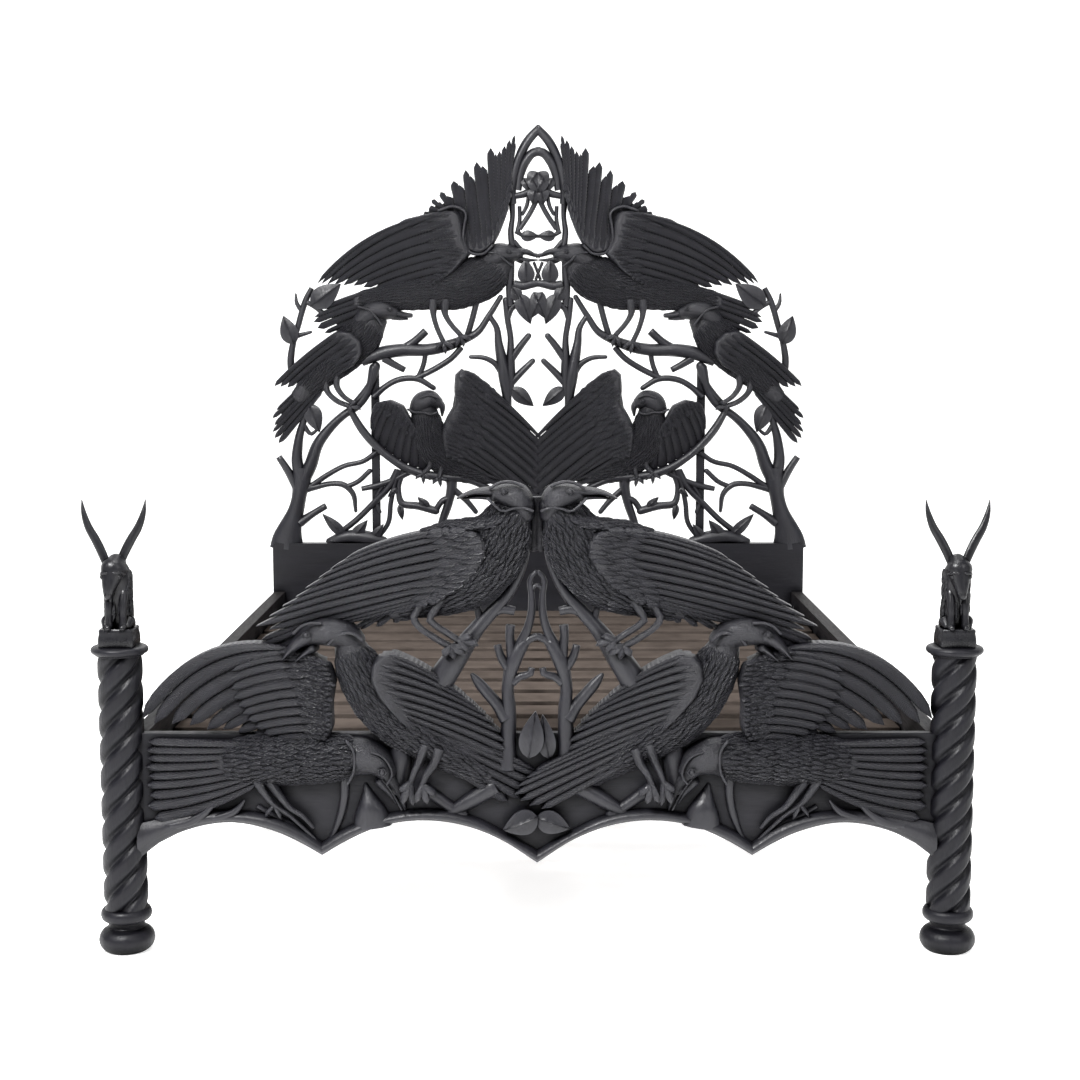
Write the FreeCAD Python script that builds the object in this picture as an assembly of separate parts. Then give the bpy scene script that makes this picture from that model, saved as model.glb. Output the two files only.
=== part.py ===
import FreeCAD, Part
import math
import os

from FreeCAD import Vector

# A carved bed for a mattress of 1600 x 2000 mm.
# The foot end faces -Y and the headboard stands at +Y.
# The origin is on the floor under the centre of the bed.
# All lengths are in millimetres.

# The mattress and the room round it
MATTRESS_WIDTH = 1600.0
MATTRESS_LENGTH = 2000.0
SIDE_GAP = 12.0
END_GAP = 15.0

# Side rails, ledgers, slats and the centre beam
RAIL_THICKNESS = 36.0
RAIL_HEIGHT = 190.0
RAIL_TOP = 467.0
LEDGER_WIDTH = 30.0
LEDGER_HEIGHT = 36.0
SLAT_TOP = 420.0
SLAT_THICKNESS = 20.0
SLAT_WIDTH = 95.0
SLAT_SPACE = 50.0
SLAT_END_ROOM = 3.0
BEAM_WIDTH = 45.0
BEAM_HEIGHT = 70.0
BEAM_LEG_SIDE = 45.0
BEAM_LEG_SHARES = (0.42, 0.76)
CLEAT_WIDTH = 90.0
CLEAT_DEPTH = 28.0
CLEAT_HEIGHT = 45.0

# Foot posts, turned and twisted
POST_ASIDE = 54.0
POST_RADIUS = 46.0
TWIST_DEPTH = 8.0
TWIST_STARTS = 4
TWIST_LEAD = 236.0
LOWER_RING_RADIUS = 53.0
LOWER_RING_HEIGHT = 26.0
RING_ROUNDING = 9.0
COLLAR_RADIUS = 59.0
COLLAR_HEIGHT = 20.0
COLLAR_ROUNDING = 6.0
COLLAR_TOP = 650.0
BUN_RADIUS = 58.0
BUN_HEIGHT = 49.0
BUN_FLAT_RADIUS = 44.0
NECK_RADIUS = 37.0
NECK_HEIGHT = 17.0
SPIGOT_RADIUS = 15.0
SPIGOT_LENGTH = 30.0

# Finials: a seated horned beast on a plinth
PLINTH_SIDE = 74.0
PLINTH_HEIGHT = 38.0
BEAST_HEIGHT = 142.0
HORN_RISE = 122.0
HORN_SPREAD = 66.0
HORN_RADIUS = 6.5
HORN_TIP_RADIUS = 1.2
FINIAL_DOWEL_RADIUS = 8.0
FINIAL_DOWEL_LENGTH = 60.0

# Foot panel and scalloped apron rail
PANEL_THICKNESS = 24.0
TENON_LENGTH = 16.0
APRON_PROUD = 20.0
APRON_DEPTH = 34.0
APRON_CREST_DEPTH = 22.0

# Headboard: lower board, legs and uprights behind the openwork
HEADBOARD_OVERHANG = 2.0
BOARD_THICKNESS = 40.0
BOARD_TOP = 622.0
BOARD_BOTTOM = 277.0
BOARD_CORNER = 12.0
HEAD_LEG_WIDTH = 84.0
HEAD_LEG_DEPTH = 45.0
HEAD_LEG_TOP = 560.0
UPRIGHT_WIDTH = 26.0
UPRIGHT_THICKNESS = 20.0
UPRIGHT_LAP = 200.0

# Carving: how far it stands out of its middle plane
HEAD_BACK_DEPTH = 12.0
HEAD_BODY_DEPTH = 32.0
HEAD_LIMB_DEPTH = 16.0
HEAD_WING_DEPTH = 13.0
FOOT_BODY_DEPTH = 40.0
FOOT_LIMB_DEPTH = 24.0
FOOT_WING_DEPTH = 22.0
FEATHER_RIB = 6.0
FEATHER_TIP_DEPTH = 3.0
WING_CROWN = 10.0
LEAF_THICKNESS = 14.0

# Fasteners
BOLT_RADIUS = 4.0
BOLT_HEAD_RADIUS = 8.0
BOLT_HEAD_HEIGHT = 5.5
BOLT_REACH = 70.0
BARREL_RADIUS = 7.0
BOLT_FROM_EDGE = 45.0
BRACKET_LEG = 60.0
BRACKET_HEIGHT = 110.0
BRACKET_PLATE = 3.0
FIT_GAP = 0.3
OVERRUN = 5.0

# How finely the pieces are carved and turned
TURNING_SIDES = 12
ROD_SIDES = 6
TWIST_SIDES = 12
TWIST_STEP_DEGREES = 45.0
TWIST_HOLLOW_POWER = 1.6
RING_ARC_DEGREES = (15.0, 90.0)
BUN_ARC_DEGREES = (-50.0, -15.0, 20.0, 55.0)
LIMB_SIDES = 5
TWIG_SIDES = 3
THICK_LIMB_PX = 11.0
BODY_CORNERS = 4
SCALLOP_CHORDS = 8
CORNER_CHORDS = 4
FINIAL_SIDES = 5
HORN_SIDES = 4
LEAF_STATION_SHARES = ((0.0, 0.12), (0.35, 1.0), (0.75, 0.75), (1.0, 0.06))
LEAF_EDGE_SHARE = 0.3
FAN_ROW_SHARES = (0.0, 0.35, 1.0)
NOTCH_SHARE = 0.1
CRUMB_SHARE = 0.01

# The carver's pattern: places are read in pixels of a view from the front,
# taken a little from above, and worked out on the plane of each carving.
FOCAL_PX = 1800.0
LEVEL_SHIFT_PX = 208.0
MIDDLE_ROW_PX = 540.0
TILT_SHARE = LEVEL_SHIFT_PX / FOCAL_PX
UPRIGHT_SHARE = math.cos(math.atan(TILT_SHARE))
FOOT_CENTRE_PX = 537.5
FOOT_SPACING_PX = 843.8
FOOT_LEVEL_PX = 733.0
HEAD_CENTRE_PX = 538.5
HEAD_WIDTH_PX = 529.6
HEAD_LEVEL_PX = 543.0

# Worked-out places
INNER_WIDTH = MATTRESS_WIDTH + 2 * SIDE_GAP
INNER_LENGTH = MATTRESS_LENGTH + 2 * END_GAP
POST_SPACING = INNER_WIDTH + 2 * POST_ASIDE
HEADBOARD_WIDTH = INNER_WIDTH + 2 * (RAIL_THICKNESS + HEADBOARD_OVERHANG)
PANEL_TOP = RAIL_TOP
TOTAL_LENGTH = (COLLAR_RADIUS + PANEL_THICKNESS / 2 + INNER_LENGTH
                + BOARD_THICKNESS + HEAD_LEG_DEPTH)
POST_Y = COLLAR_RADIUS - TOTAL_LENGTH / 2
PANEL_BACK = POST_Y + PANEL_THICKNESS / 2
PANEL_FRONT = POST_Y - PANEL_THICKNESS / 2
BOARD_FRONT = PANEL_BACK + INNER_LENGTH
BOARD_BACK = BOARD_FRONT + BOARD_THICKNESS
HEAD_MID = BOARD_FRONT + BOARD_THICKNESS / 2
RAIL_BOTTOM = RAIL_TOP - RAIL_HEIGHT
SLAT_BOTTOM = SLAT_TOP - SLAT_THICKNESS
TWIST_BOTTOM = BUN_HEIGHT + NECK_HEIGHT + LOWER_RING_HEIGHT
COLLAR_BOTTOM = COLLAR_TOP - COLLAR_HEIGHT
BACKWARD = Vector(0, 1, 0)
SIDEWAYS = Vector(1, 0, 0)
HERE = Vector(0, 0, 0)


# Basic solids

def box(x0, x1, y0, y1, z0, z1):
    return Part.makeBox(x1 - x0, y1 - y0, z1 - z0, Vector(x0, y0, z0))


def triangle(a, b, c):
    return Part.Face(Part.makePolygon([a, b, c, a]))


def flat(points):
    return Part.Face(Part.makePolygon(list(points) + [points[0]]))


def closed_solid(faces):
    shell = Part.makeShell(faces)
    shell.sewShape()
    solid = Part.makeSolid(shell)
    if solid.Volume < 0:
        solid.reverse()
    return solid


def skin(rings):
    """A carved form lofted through flat rings that have the same number of corners."""
    faces = [flat(rings[0]), flat(rings[-1])]
    corners = len(rings[0])
    for low, high in zip(rings, rings[1:]):
        for i in range(corners):
            j = (i + 1) % corners
            faces.append(triangle(low[i], low[j], high[j]))
            faces.append(triangle(low[i], high[j], high[i]))
    return closed_solid(faces)


def rod(radius, start, end, sides=ROD_SIDES):
    """A round bar between two points, worked with flats that its circle lies inside."""
    run = (end - start).normalize()
    across = SIDEWAYS if abs(run.y) > max(abs(run.x), abs(run.z)) else BACKWARD
    beside = run.cross(across)
    reach = radius / math.cos(math.pi / sides)
    rings = []
    for middle in (start, end):
        ring = []
        for i in range(sides):
            a = 2 * math.pi * i / sides
            ring.append(middle + across * (reach * math.cos(a)) + beside * (reach * math.sin(a)))
        rings.append(ring)
    return skin(rings)


def turned(profile, x, y):
    """A turning about a vertical axis, from (radius, height) stations."""
    rings = []
    for radius, height in profile:
        ring = []
        for i in range(TURNING_SIDES):
            a = 2 * math.pi * i / TURNING_SIDES
            ring.append(Vector(x + radius * math.cos(a), y + radius * math.sin(a), height))
        rings.append(ring)
    return skin(rings)


def relief(front):
    """A relief: a grid of corners whose rim lies on the flat back."""
    rows = len(front)
    columns = len(front[0])
    faces = []
    for r in range(rows - 1):
        for c in range(columns - 1):
            faces.append(triangle(front[r][c], front[r + 1][c], front[r + 1][c + 1]))
            faces.append(triangle(front[r][c], front[r + 1][c + 1], front[r][c + 1]))
    rim = [front[0][c] for c in range(columns)]
    rim += [front[r][columns - 1] for r in range(1, rows)]
    rim += [front[rows - 1][c] for c in range(columns - 2, -1, -1)]
    rim += [front[r][0] for r in range(rows - 2, 0, -1)]
    faces.append(flat(rim))
    return closed_solid(faces)


def main_solids(shape):
    """The solids of a cut shape, without the crumbs that a cut leaves."""
    least = shape.Volume * CRUMB_SHARE
    return Part.makeCompound([s for s in shape.Solids if s.Volume > least])


def without(shape, others):
    """The shape, housed round the pieces that it meets."""
    near = [o for o in others if o.BoundBox.intersect(shape.BoundBox)]
    if not near:
        return shape
    return main_solids(shape.cut(near))


def joined(shapes):
    return shapes[0].multiFuse(shapes[1:]).removeSplitter()


def mirrored(shape):
    return shape.mirror(HERE, SIDEWAYS)


# The pattern's two planes

def drop_px(row_px):
    """How far below eye level a row lies, per unit of the plane's scale."""
    below = row_px - MIDDLE_ROW_PX
    return (below + LEVEL_SHIFT_PX) / (1 - TILT_SHARE * below / FOCAL_PX)


def plane(scale, centre_px, level_px, level_z, middle_y, back):
    """A function that places a pattern point (px, py) with a depth on a plane.

    All the carving of a plane has its flat back at one depth behind it.
    """
    def place(column_px, row_px, toward_back=0.0):
        near = 1 - TILT_SHARE * (row_px - MIDDLE_ROW_PX) / FOCAL_PX
        x = (column_px - centre_px) * scale / near
        fall = drop_px(row_px) - drop_px(level_px)
        return Vector(x, middle_y + toward_back, level_z - scale * UPRIGHT_SHARE * fall)
    place.scale = scale
    place.back = back
    return place


on_foot = plane(POST_SPACING / FOOT_SPACING_PX, FOOT_CENTRE_PX, FOOT_LEVEL_PX,
                PANEL_TOP, PANEL_FRONT, PANEL_THICKNESS)
on_head = plane(HEADBOARD_WIDTH / HEAD_WIDTH_PX, HEAD_CENTRE_PX, HEAD_LEVEL_PX,
                BOARD_TOP, HEAD_MID, HEAD_BACK_DEPTH)


# Carved forms on a plane

def side_step(place, path, k):
    """The direction across a pattern path at its point k."""
    before = place(*path[max(k - 1, 0)][:2])
    after = place(*path[min(k + 1, len(path) - 1)][:2])
    run = after - before
    return Vector(-run.z, 0, run.x).normalize()


def limb(place, path, depth):
    """A tapered branch along (px, py, width) points, flattened to a depth."""
    thick = max(width_px for px, py, width_px in path) > THICK_LIMB_PX
    sides = LIMB_SIDES if thick else TWIG_SIDES
    turns = [2 * math.pi * i / sides - math.pi / 2 for i in range(sides)]
    widest = max(math.cos(a) for a in turns)
    rings = []
    for k, (px, py, width_px) in enumerate(path):
        middle = place(px, py)
        across = side_step(place, path, k)
        half = width_px * place.scale / 2
        deep = min(half, depth)
        ring = []
        for a in turns:
            out = place.back if math.sin(a) > 0 else deep * math.sin(a)
            ring.append(middle + across * (half * math.cos(a) / widest) + BACKWARD * out)
        rings.append(ring)
    return skin(rings)


def torso(place, path, front):
    """A domed body along (px, py, half width, depth share) points, with a flat back."""
    rings = []
    for k, (px, py, half_px, deep_share) in enumerate(path):
        middle = place(px, py)
        across = side_step(place, path, k)
        half = half_px * place.scale
        ring = []
        for i in range(BODY_CORNERS):
            a = math.pi * i / (BODY_CORNERS - 1)
            on_rim = i in (0, BODY_CORNERS - 1)
            out = place.back if on_rim else -front * deep_share * math.sin(a)
            ring.append(middle + across * (half * math.cos(a)) + BACKWARD * out)
        rings.append(ring)
    return skin(rings)


def leaves_on(place, table_px):
    """Leaves from a table of (stem, tip, width)."""
    return [leaf(place, stem, tip, width_px) for stem, tip, width_px in table_px]


def leaf(place, stem, tip, width_px):
    """A leaf with a raised midrib, from its stem to its tip."""
    path = []
    for along_share, width_share in LEAF_STATION_SHARES:
        px = stem[0] + (tip[0] - stem[0]) * along_share
        py = stem[1] + (tip[1] - stem[1]) * along_share
        path.append((px, py, width_px * width_share))
    rings = []
    for k, (px, py, width) in enumerate(path):
        middle = place(px, py)
        across = side_step(place, path, k)
        half = width * place.scale / 2
        deep = LEAF_THICKNESS / 2 * max(width / width_px, LEAF_EDGE_SHARE)
        rings.append([middle + across * half + BACKWARD * place.back, middle - BACKWARD * deep,
                      middle - across * half + BACKWARD * place.back])
    return skin(rings)


def along(path, share):
    """The pattern point at a share of a polyline's length."""
    runs = [math.dist(a, b) for a, b in zip(path, path[1:])]
    left = share * sum(runs)
    for (a, b), run in zip(zip(path, path[1:]), runs):
        if left <= run or b is path[-1]:
            t = min(left / run, 1.0)
            return (a[0] + (b[0] - a[0]) * t, a[1] + (b[1] - a[1]) * t)
        left -= run


def feathers(place, root, tips, bows, rise, tip_rise):
    """A fan of long feathers between a root line and the feathers' tips.

    Its rim lies on the flat back. Each feather has a raised rib, the edges between
    feathers are low and end in a notch, and bows bend the first and the last feather.
    """
    count = len(tips)
    last = 2 * count
    columns = []
    for c in range(last + 1):
        across_share = c / last
        start = along(root, across_share)
        if c % 2:
            end = tips[c // 2]
        else:
            a = tips[max(c // 2 - 1, 0)]
            b = tips[min(c // 2, count - 1)]
            middle = ((a[0] + b[0]) / 2, (a[1] + b[1]) / 2)
            end = (middle[0] + (start[0] - middle[0]) * NOTCH_SHARE,
                   middle[1] + (start[1] - middle[1]) * NOTCH_SHARE)
        bow = bows[0] + (bows[1] - bows[0]) * across_share
        run = (end[0] - start[0], end[1] - start[1])
        column = []
        for u in FAN_ROW_SHARES:
            swell = 4 * u * (1 - u) * bow
            px = start[0] + run[0] * u - run[1] * swell
            py = start[1] + run[1] * u + run[0] * swell
            out = rise + (tip_rise - rise) * u
            out += WING_CROWN * math.sin(math.pi * across_share) * (1 - u)
            if c % 2:
                out += FEATHER_RIB
            on_rim = c in (0, last) or u in (FAN_ROW_SHARES[0], FAN_ROW_SHARES[-1])
            column.append(place(px, py, place.back if on_rim else -out))
        columns.append(column)
    front = [[column[r] for column in columns] for r in range(len(FAN_ROW_SHARES))]
    return relief(front)


# Ravens. Each takes pattern points on its plane: bodies as (px, py, half width,
# depth share), feather fans as a root line, feather tips and bows, legs as limbs.

def raven(place, body, head, beaks, fans, legs, body_depth, leg_depth):
    forms = [torso(place, path, body_depth) for path in (body, head) + beaks]
    for root, tips, bows, rise, tip_rise in fans:
        forms.append(feathers(place, root, tips, bows, rise, tip_rise))
    for path in legs:
        forms.append(limb(place, path, leg_depth))
    return joined(forms)


def top_raven():
    body = ((508, 262, 9, 0.7), (490, 272, 20, 1.0), (458, 285, 24, 1.0),
            (410, 294, 15, 0.8), (376, 303, 9, 0.5))
    head = ((486, 264, 9, 0.5), (498, 255, 11, 0.8), (523, 254, 4, 0.35))
    upper_beak = ((519, 252, 4, 0.4), (538, 257, 0.8, 0.18))
    lower_beak = ((517, 258, 3, 0.35), (537, 260.5, 0.8, 0.18))
    closed_wing = (((463, 207), (470, 228), (476, 254), (450, 276), (420, 288)),
                   ((318, 283), (332, 284), (350, 285), (369, 288), (386, 292), (402, 298)),
                   (0.09, 0.0), HEAD_WING_DEPTH + WING_CROWN, FEATHER_TIP_DEPTH)
    raised_wing = (((446, 210), (464, 216), (470, 236), (488, 240), (504, 224), (515, 196)),
                   ((430, 201), (441, 193), (454, 182), (466, 171), (477, 164), (491, 149),
                    (515, 136)),
                   (0.05, -0.04), HEAD_WING_DEPTH, FEATHER_TIP_DEPTH)
    tail = (((400, 286), (396, 310)), ((318, 311), (314, 319), (318, 327), (329, 333)),
            (0.01, -0.01), HEAD_WING_DEPTH, FEATHER_TIP_DEPTH)
    legs = (((436, 303, 7), (436, 319, 5), (444, 343, 5)),
            ((447, 303, 7), (447, 319, 5), (461, 336, 5)))
    return raven(on_head, body, head, (upper_beak, lower_beak),
                 (closed_wing, raised_wing, tail), legs, HEAD_BODY_DEPTH, HEAD_LIMB_DEPTH)


def side_raven():
    body = ((378, 320, 10, 0.7), (366, 332, 18, 0.95), (342, 354, 19, 1.0),
            (300, 398, 9, 0.5))
    head = ((362, 321, 8, 0.6), (372, 313, 10, 0.8), (384, 311, 9, 0.8), (396, 313, 6, 0.55))
    beak = ((394, 314, 4.5, 0.45), (413, 316, 0.8, 0.2))
    wing = (((344, 325), (362, 333), (374, 350), (368, 362)),
            ((275, 386), (285, 387), (297, 388), (311, 387), (324, 385)),
            (0.02, 0.02), HEAD_WING_DEPTH + WING_CROWN, FEATHER_TIP_DEPTH)
    tail = (((306, 382), (322, 392)), ((273, 414), (272, 424), (273, 434), (277, 443)),
            (0.03, 0.03), HEAD_WING_DEPTH, FEATHER_TIP_DEPTH)
    legs = (((328, 376, 8), (330, 393, 6), (350, 407, 6)),
            ((338, 372, 8), (338, 390, 5), (352, 404, 5)))
    return raven(on_head, body, head, (beak,), (wing, tail), legs,
                 HEAD_BODY_DEPTH, HEAD_LIMB_DEPTH)


def spread_raven():
    body = ((424, 408, 12, 0.8), (428, 426, 16, 0.95), (434, 446, 18, 1.0), (456, 467, 12, 0.6))
    head = ((420, 412, 9, 0.7), (424, 404, 10, 0.85), (432, 401, 8.5, 0.8), (439, 405, 5, 0.55))
    beak = ((437, 404, 4, 0.5), (442.5, 416, 0.8, 0.2))
    left_wing = (((373, 399), (391, 396), (411, 408), (420, 430)),
                 ((373, 434), (382, 448), (396, 459), (412, 468), (430, 466)),
                 (0.06, 0.02), HEAD_WING_DEPTH, FEATHER_TIP_DEPTH)
    right_wing = (((464, 371), (455, 376), (456, 400), (446, 424), (440, 448), (448, 462)),
                  ((500, 396), (520, 419), (538, 443), (535, 458), (526, 470), (508, 476),
                   (484, 470)),
                  (0.01, -0.02), HEAD_WING_DEPTH, FEATHER_TIP_DEPTH)
    legs = (((430, 456, 8), (432, 468, 6), (424, 475, 6)),
            ((440, 458, 8), (443, 470, 6), (440, 479, 6)))
    return raven(on_head, body, head, (beak,), (left_wing, right_wing), legs,
                 HEAD_BODY_DEPTH, HEAD_LIMB_DEPTH)


def upper_foot_raven():
    body = ((526, 508, 13, 0.75), (521, 528, 20, 0.9), (502, 558, 31, 1.0),
            (466, 583, 28, 1.0), (396, 608, 12, 0.5))
    head = ((532, 515, 9, 0.6), (530, 500, 13, 0.85), (518, 494, 12, 0.9), (504, 494, 9, 0.75),
            (493, 496, 6, 0.55))
    beak = ((497, 495, 6, 0.55), (478, 496, 3.6, 0.4), (458, 499, 1, 0.2))
    wing = (((490, 511), (487, 535), (480, 556), (466, 576), (448, 592), (430, 602)),
            ((347, 562), (327, 576), (304, 591), (280, 609), (258, 627), (262, 641),
             (298, 641), (338, 634), (372, 624), (400, 616)),
            (0.04, 0.0), FOOT_WING_DEPTH + WING_CROWN, FEATHER_TIP_DEPTH)
    legs = (((428, 596, 10), (420, 620, 6), (452, 646, 6)),
            ((440, 598, 10), (434, 618, 6), (458, 638, 6)))
    return raven(on_foot, body, head, (beak,), (wing,), legs, FOOT_BODY_DEPTH, FOOT_LIMB_DEPTH)


def lower_foot_raven():
    body = ((346, 634, 11, 0.7), (353, 654, 19, 0.9), (372, 686, 27, 1.0),
            (404, 722, 27, 0.95), (440, 747, 19, 0.75), (492, 776, 12, 0.5))
    head = ((350, 642, 10, 0.6), (342, 634, 13, 0.85), (328, 634, 13, 0.9), (314, 636, 11, 0.85),
            (303, 641, 8, 0.65))
    beak = ((307, 638, 7.5, 0.6), (287, 657, 1, 0.25))
    wing = (((382, 645), (364, 656), (363, 680), (376, 700), (398, 720), (420, 734)),
            ((496, 732), (499, 741), (488, 747), (470, 746), (452, 744)),
            (-0.07, 0.0), FOOT_WING_DEPTH + WING_CROWN, FEATHER_TIP_DEPTH)
    tail = (((452, 738), (440, 760)),
            ((530, 768), (536, 776), (529, 787), (518, 797), (500, 795)),
            (0.0, 0.0), FOOT_WING_DEPTH, FEATHER_TIP_DEPTH)
    legs = (((426, 744, 12), (420, 764, 6), (404, 796, 4)),
            ((438, 748, 12), (430, 766, 6), (430, 795, 4)))
    return raven(on_foot, body, head, (beak,), (wing, tail), legs, FOOT_BODY_DEPTH, FOOT_LIMB_DEPTH)


def flying_raven():
    body = ((170, 772, 20, 0.5), (214, 764, 24, 0.75), (300, 758, 25, 1.0), (360, 756, 19, 0.85))
    head = ((352, 756, 18, 0.8), (368, 757, 17, 0.95), (382, 763, 14, 0.9), (391, 773, 10, 0.7))
    beak = ((388, 772, 9, 0.6), (405, 808, 1.5, 0.25))
    tail = (((214, 742), (214, 788)),
            ((148, 741), (146, 759), (146, 778), (148, 797), (154, 816)),
            (0.0, 0.0), FOOT_WING_DEPTH, FEATHER_TIP_DEPTH)
    wing = (((322, 650), (340, 662), (341, 680), (336, 702), (338, 722), (332, 750)),
            ((142, 719), (155, 723), (173, 724), (192, 725), (212, 729), (238, 732),
             (270, 744)),
            (0.19, 0.02), FOOT_WING_DEPTH, FEATHER_TIP_DEPTH)
    return raven(on_foot, body, head, (beak,), (tail, wing), (), FOOT_BODY_DEPTH, FOOT_LIMB_DEPTH)


# Branches and leaves of the headboard, left half

def limbs(place, depth, paths):
    return [limb(place, path, depth) for path in paths]


def tree():
    paths = (
        ((287, 545, 31), (293, 522, 19), (300, 490, 15), (300, 468, 16)),
        ((300, 476, 12), (297, 452, 10), (303, 422, 7), (307, 408, 5)),
        ((304, 478, 14), (313, 456, 13), (331, 427, 10), (358, 405, 8), (374, 368, 8)),
        ((294, 484, 9), (279, 457, 6)),
        ((303, 521, 9), (326, 506, 7)),
        ((303, 490, 6), (340, 468, 5), (376, 453, 5)),
        ((303, 488, 6), (346, 484, 6), (355, 510, 4)),
    )
    leaf_places = (((311, 404), (319, 431), 18),)
    return joined(limbs(on_head, HEAD_LIMB_DEPTH, paths) + leaves_on(on_head, leaf_places))


def perch():
    paths = (
        ((374, 360, 12), (392, 352, 14), (430, 351, 12), (464, 341, 10), (489, 316, 6),
         (500, 298, 5)),
        ((402, 351, 9), (426, 332, 7)),
        ((384, 358, 7), (405, 369, 6)),
        ((378, 394, 6), (404, 380, 6), (434, 388, 5)),
        ((412, 383, 6), (453, 357, 6), (463, 345, 6)),
        ((425, 354, 5), (419, 379, 5)),
        ((468, 338, 6), (478, 302, 6)),
    )
    return joined(limbs(on_head, HEAD_LIMB_DEPTH, paths))


def undergrowth():
    paths = (
        ((350, 408, 6), (364, 432, 8), (389, 458, 8), (422, 475, 9), (486, 486, 6)),
        ((394, 462, 8), (372, 505, 6), (344, 536, 6)),
        ((402, 465, 8), (390, 510, 5), (378, 540, 4)),
        ((413, 468, 7), (402, 502, 5), (434, 510, 8)),
        ((446, 474, 12), (450, 500, 10), (440, 545, 9)),
        ((330, 541, 8), (350, 535, 16), (386, 541, 8)),
    )
    return joined(limbs(on_head, HEAD_LIMB_DEPTH, paths))


def side_twig():
    paths = (
        ((311, 290, 5), (303, 318, 6), (293, 350, 6), (294, 372, 7)),
        ((305, 303, 5), (326, 318, 5)),
        ((294, 342, 4), (311, 333, 3)),
    )
    leaf_places = (((296, 344), (286, 317), 18), ((315, 313), (340, 284), 22))
    return joined(limbs(on_head, HEAD_LIMB_DEPTH, paths) + leaves_on(on_head, leaf_places))


def centre_trunk():
    paths = (
        ((508, 410, 8), (506, 372, 14), (500, 340, 7), (490, 315, 5)),
        ((508, 372, 11), (511, 336, 6), (509, 316, 6)),
        ((512, 357, 7), (529, 336, 6)),
        ((511, 383, 7), (533, 361, 5)),
        ((502, 372, 6), (486, 358, 5), (471, 357, 4)),
        ((508, 318, 6), (520, 306, 7)),
    )
    leaf_places = (((510, 392), (532, 404), 16),)
    return joined(limbs(on_head, HEAD_LIMB_DEPTH, paths) + leaves_on(on_head, leaf_places))


ARCH_STEM_PX = ((538.5, 150, 10), (538.5, 178, 8))


def arch_half():
    paths = (
        ((514, 200, 8), (515, 174, 9), (529, 140, 9), (540, 128, 6)),
        ((519, 184, 8), (525, 162, 9), (540, 152, 10)),
    )
    return limbs(on_head, HEAD_LIMB_DEPTH, paths)


def crown_leaf_half():
    paths = (
        ((536, 198, 5), (520, 231, 5)),
        ((514, 206, 8), (514, 242, 7)),
        ((515, 230, 5), (540, 236, 4)),
        ((516, 184, 6), (534, 188, 8)),
    )
    leaf_places = (((533, 183), (533, 203), 14),)
    return limbs(on_head, HEAD_LIMB_DEPTH, paths) + leaves_on(on_head, leaf_places)


def centre_leaf_half():
    paths = (
        ((506, 287, 8), (522, 284, 9), (540, 280, 5)),
        ((508, 286, 7), (512, 310, 6)),
        ((511, 300, 5), (540, 298, 7)),
    )
    leaf_places = (((524, 284), (525, 260), 17), ((526, 294), (531, 324), 18))
    return limbs(on_head, HEAD_LIMB_DEPTH, paths) + leaves_on(on_head, leaf_places)


def both_halves(half, stems):
    """A piece that crosses the middle: a half, its mirror image and stems on the line."""
    return joined(half + [mirrored(form) for form in half] + stems)


# Branches and leaves of the foot end, left half

def foot_limb():
    paths = (
        ((436, 694, 30), (470, 640, 23), (500, 604, 15), (520, 575, 9), (528, 545, 8)),
        ((494, 606, 10), (515, 610, 7)),
        ((484, 620, 9), (477, 605, 6)),
    )
    return joined(limbs(on_foot, FOOT_LIMB_DEPTH, paths))


def foot_trunk():
    paths = (
        ((508, 770, 18), (509, 702, 13), (511, 672, 13), (521, 648, 14)),
        ((521, 650, 12), (531, 616, 8), (530, 568, 4)),
        ((516, 652, 9), (509, 624, 6)),
        ((524, 650, 8), (538, 638, 5)),
        ((512, 680, 8), (532, 672, 5)),
        ((509, 716, 12), (479, 682, 10), (475, 676, 5)),
    )
    return joined(limbs(on_foot, FOOT_LIMB_DEPTH, paths))


def apron_branches():
    paths = (
        ((402, 790, 22), (401, 752, 22), (397, 741, 10)),
        ((374, 820, 40), (366, 784, 5)),
        ((446, 814, 8), (470, 800, 16), (495, 786, 21)),
        ((424, 789, 12), (456, 809, 12)),
        ((343, 780, 9), (340, 822, 7), (328, 846, 5)),
        ((150, 822, 6), (190, 807, 7), (222, 797, 4)),
        ((256, 782, 9), (286, 813, 6), (318, 842, 4)),
    )
    return joined(limbs(on_foot, FOOT_LIMB_DEPTH, paths))


def foot_upper_leaves():
    return joined(leaves_on(on_foot, (((531, 756), (537, 713), 24), ((549, 756), (541, 720), 20))))


def foot_lower_leaves():
    return joined(leaves_on(on_foot, (((538, 818), (504, 828), 24), ((537, 818), (571, 828), 22))))


# Foot posts, bun feet and finials

def twisted_shaft():
    """The barley twist: a lobed ring that turns as it rises."""
    height = COLLAR_BOTTOM - TWIST_BOTTOM
    steps = round(360.0 / TWIST_STEP_DEGREES * height / TWIST_LEAD)
    rings = []
    for k in range(steps + 1):
        rise = height * k / steps
        turn = 2 * math.pi * rise / TWIST_LEAD
        ring = []
        for i in range(TWIST_SIDES):
            a = 2 * math.pi * i / TWIST_SIDES
            hollow = (1 + math.cos(TWIST_STARTS * a)) / 2
            radius = POST_RADIUS - TWIST_DEPTH * hollow ** TWIST_HOLLOW_POWER
            ring.append(Vector(radius * math.cos(a + turn), radius * math.sin(a + turn),
                               TWIST_BOTTOM + rise))
        rings.append(ring)
    return skin(rings)


def rounded_ring(low, high, radius, rounding):
    """Stations of a ring with rounded edges."""
    stations = []
    shallow, steep = (math.radians(degrees) for degrees in RING_ARC_DEGREES)
    for z, turn in ((low, -steep), (low, -shallow), (high, shallow), (high, steep)):
        toward_middle = rounding if z == low else -rounding
        stations.append((radius - rounding + rounding * math.cos(turn),
                         z + toward_middle + rounding * math.sin(turn)))
    return stations


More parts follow.
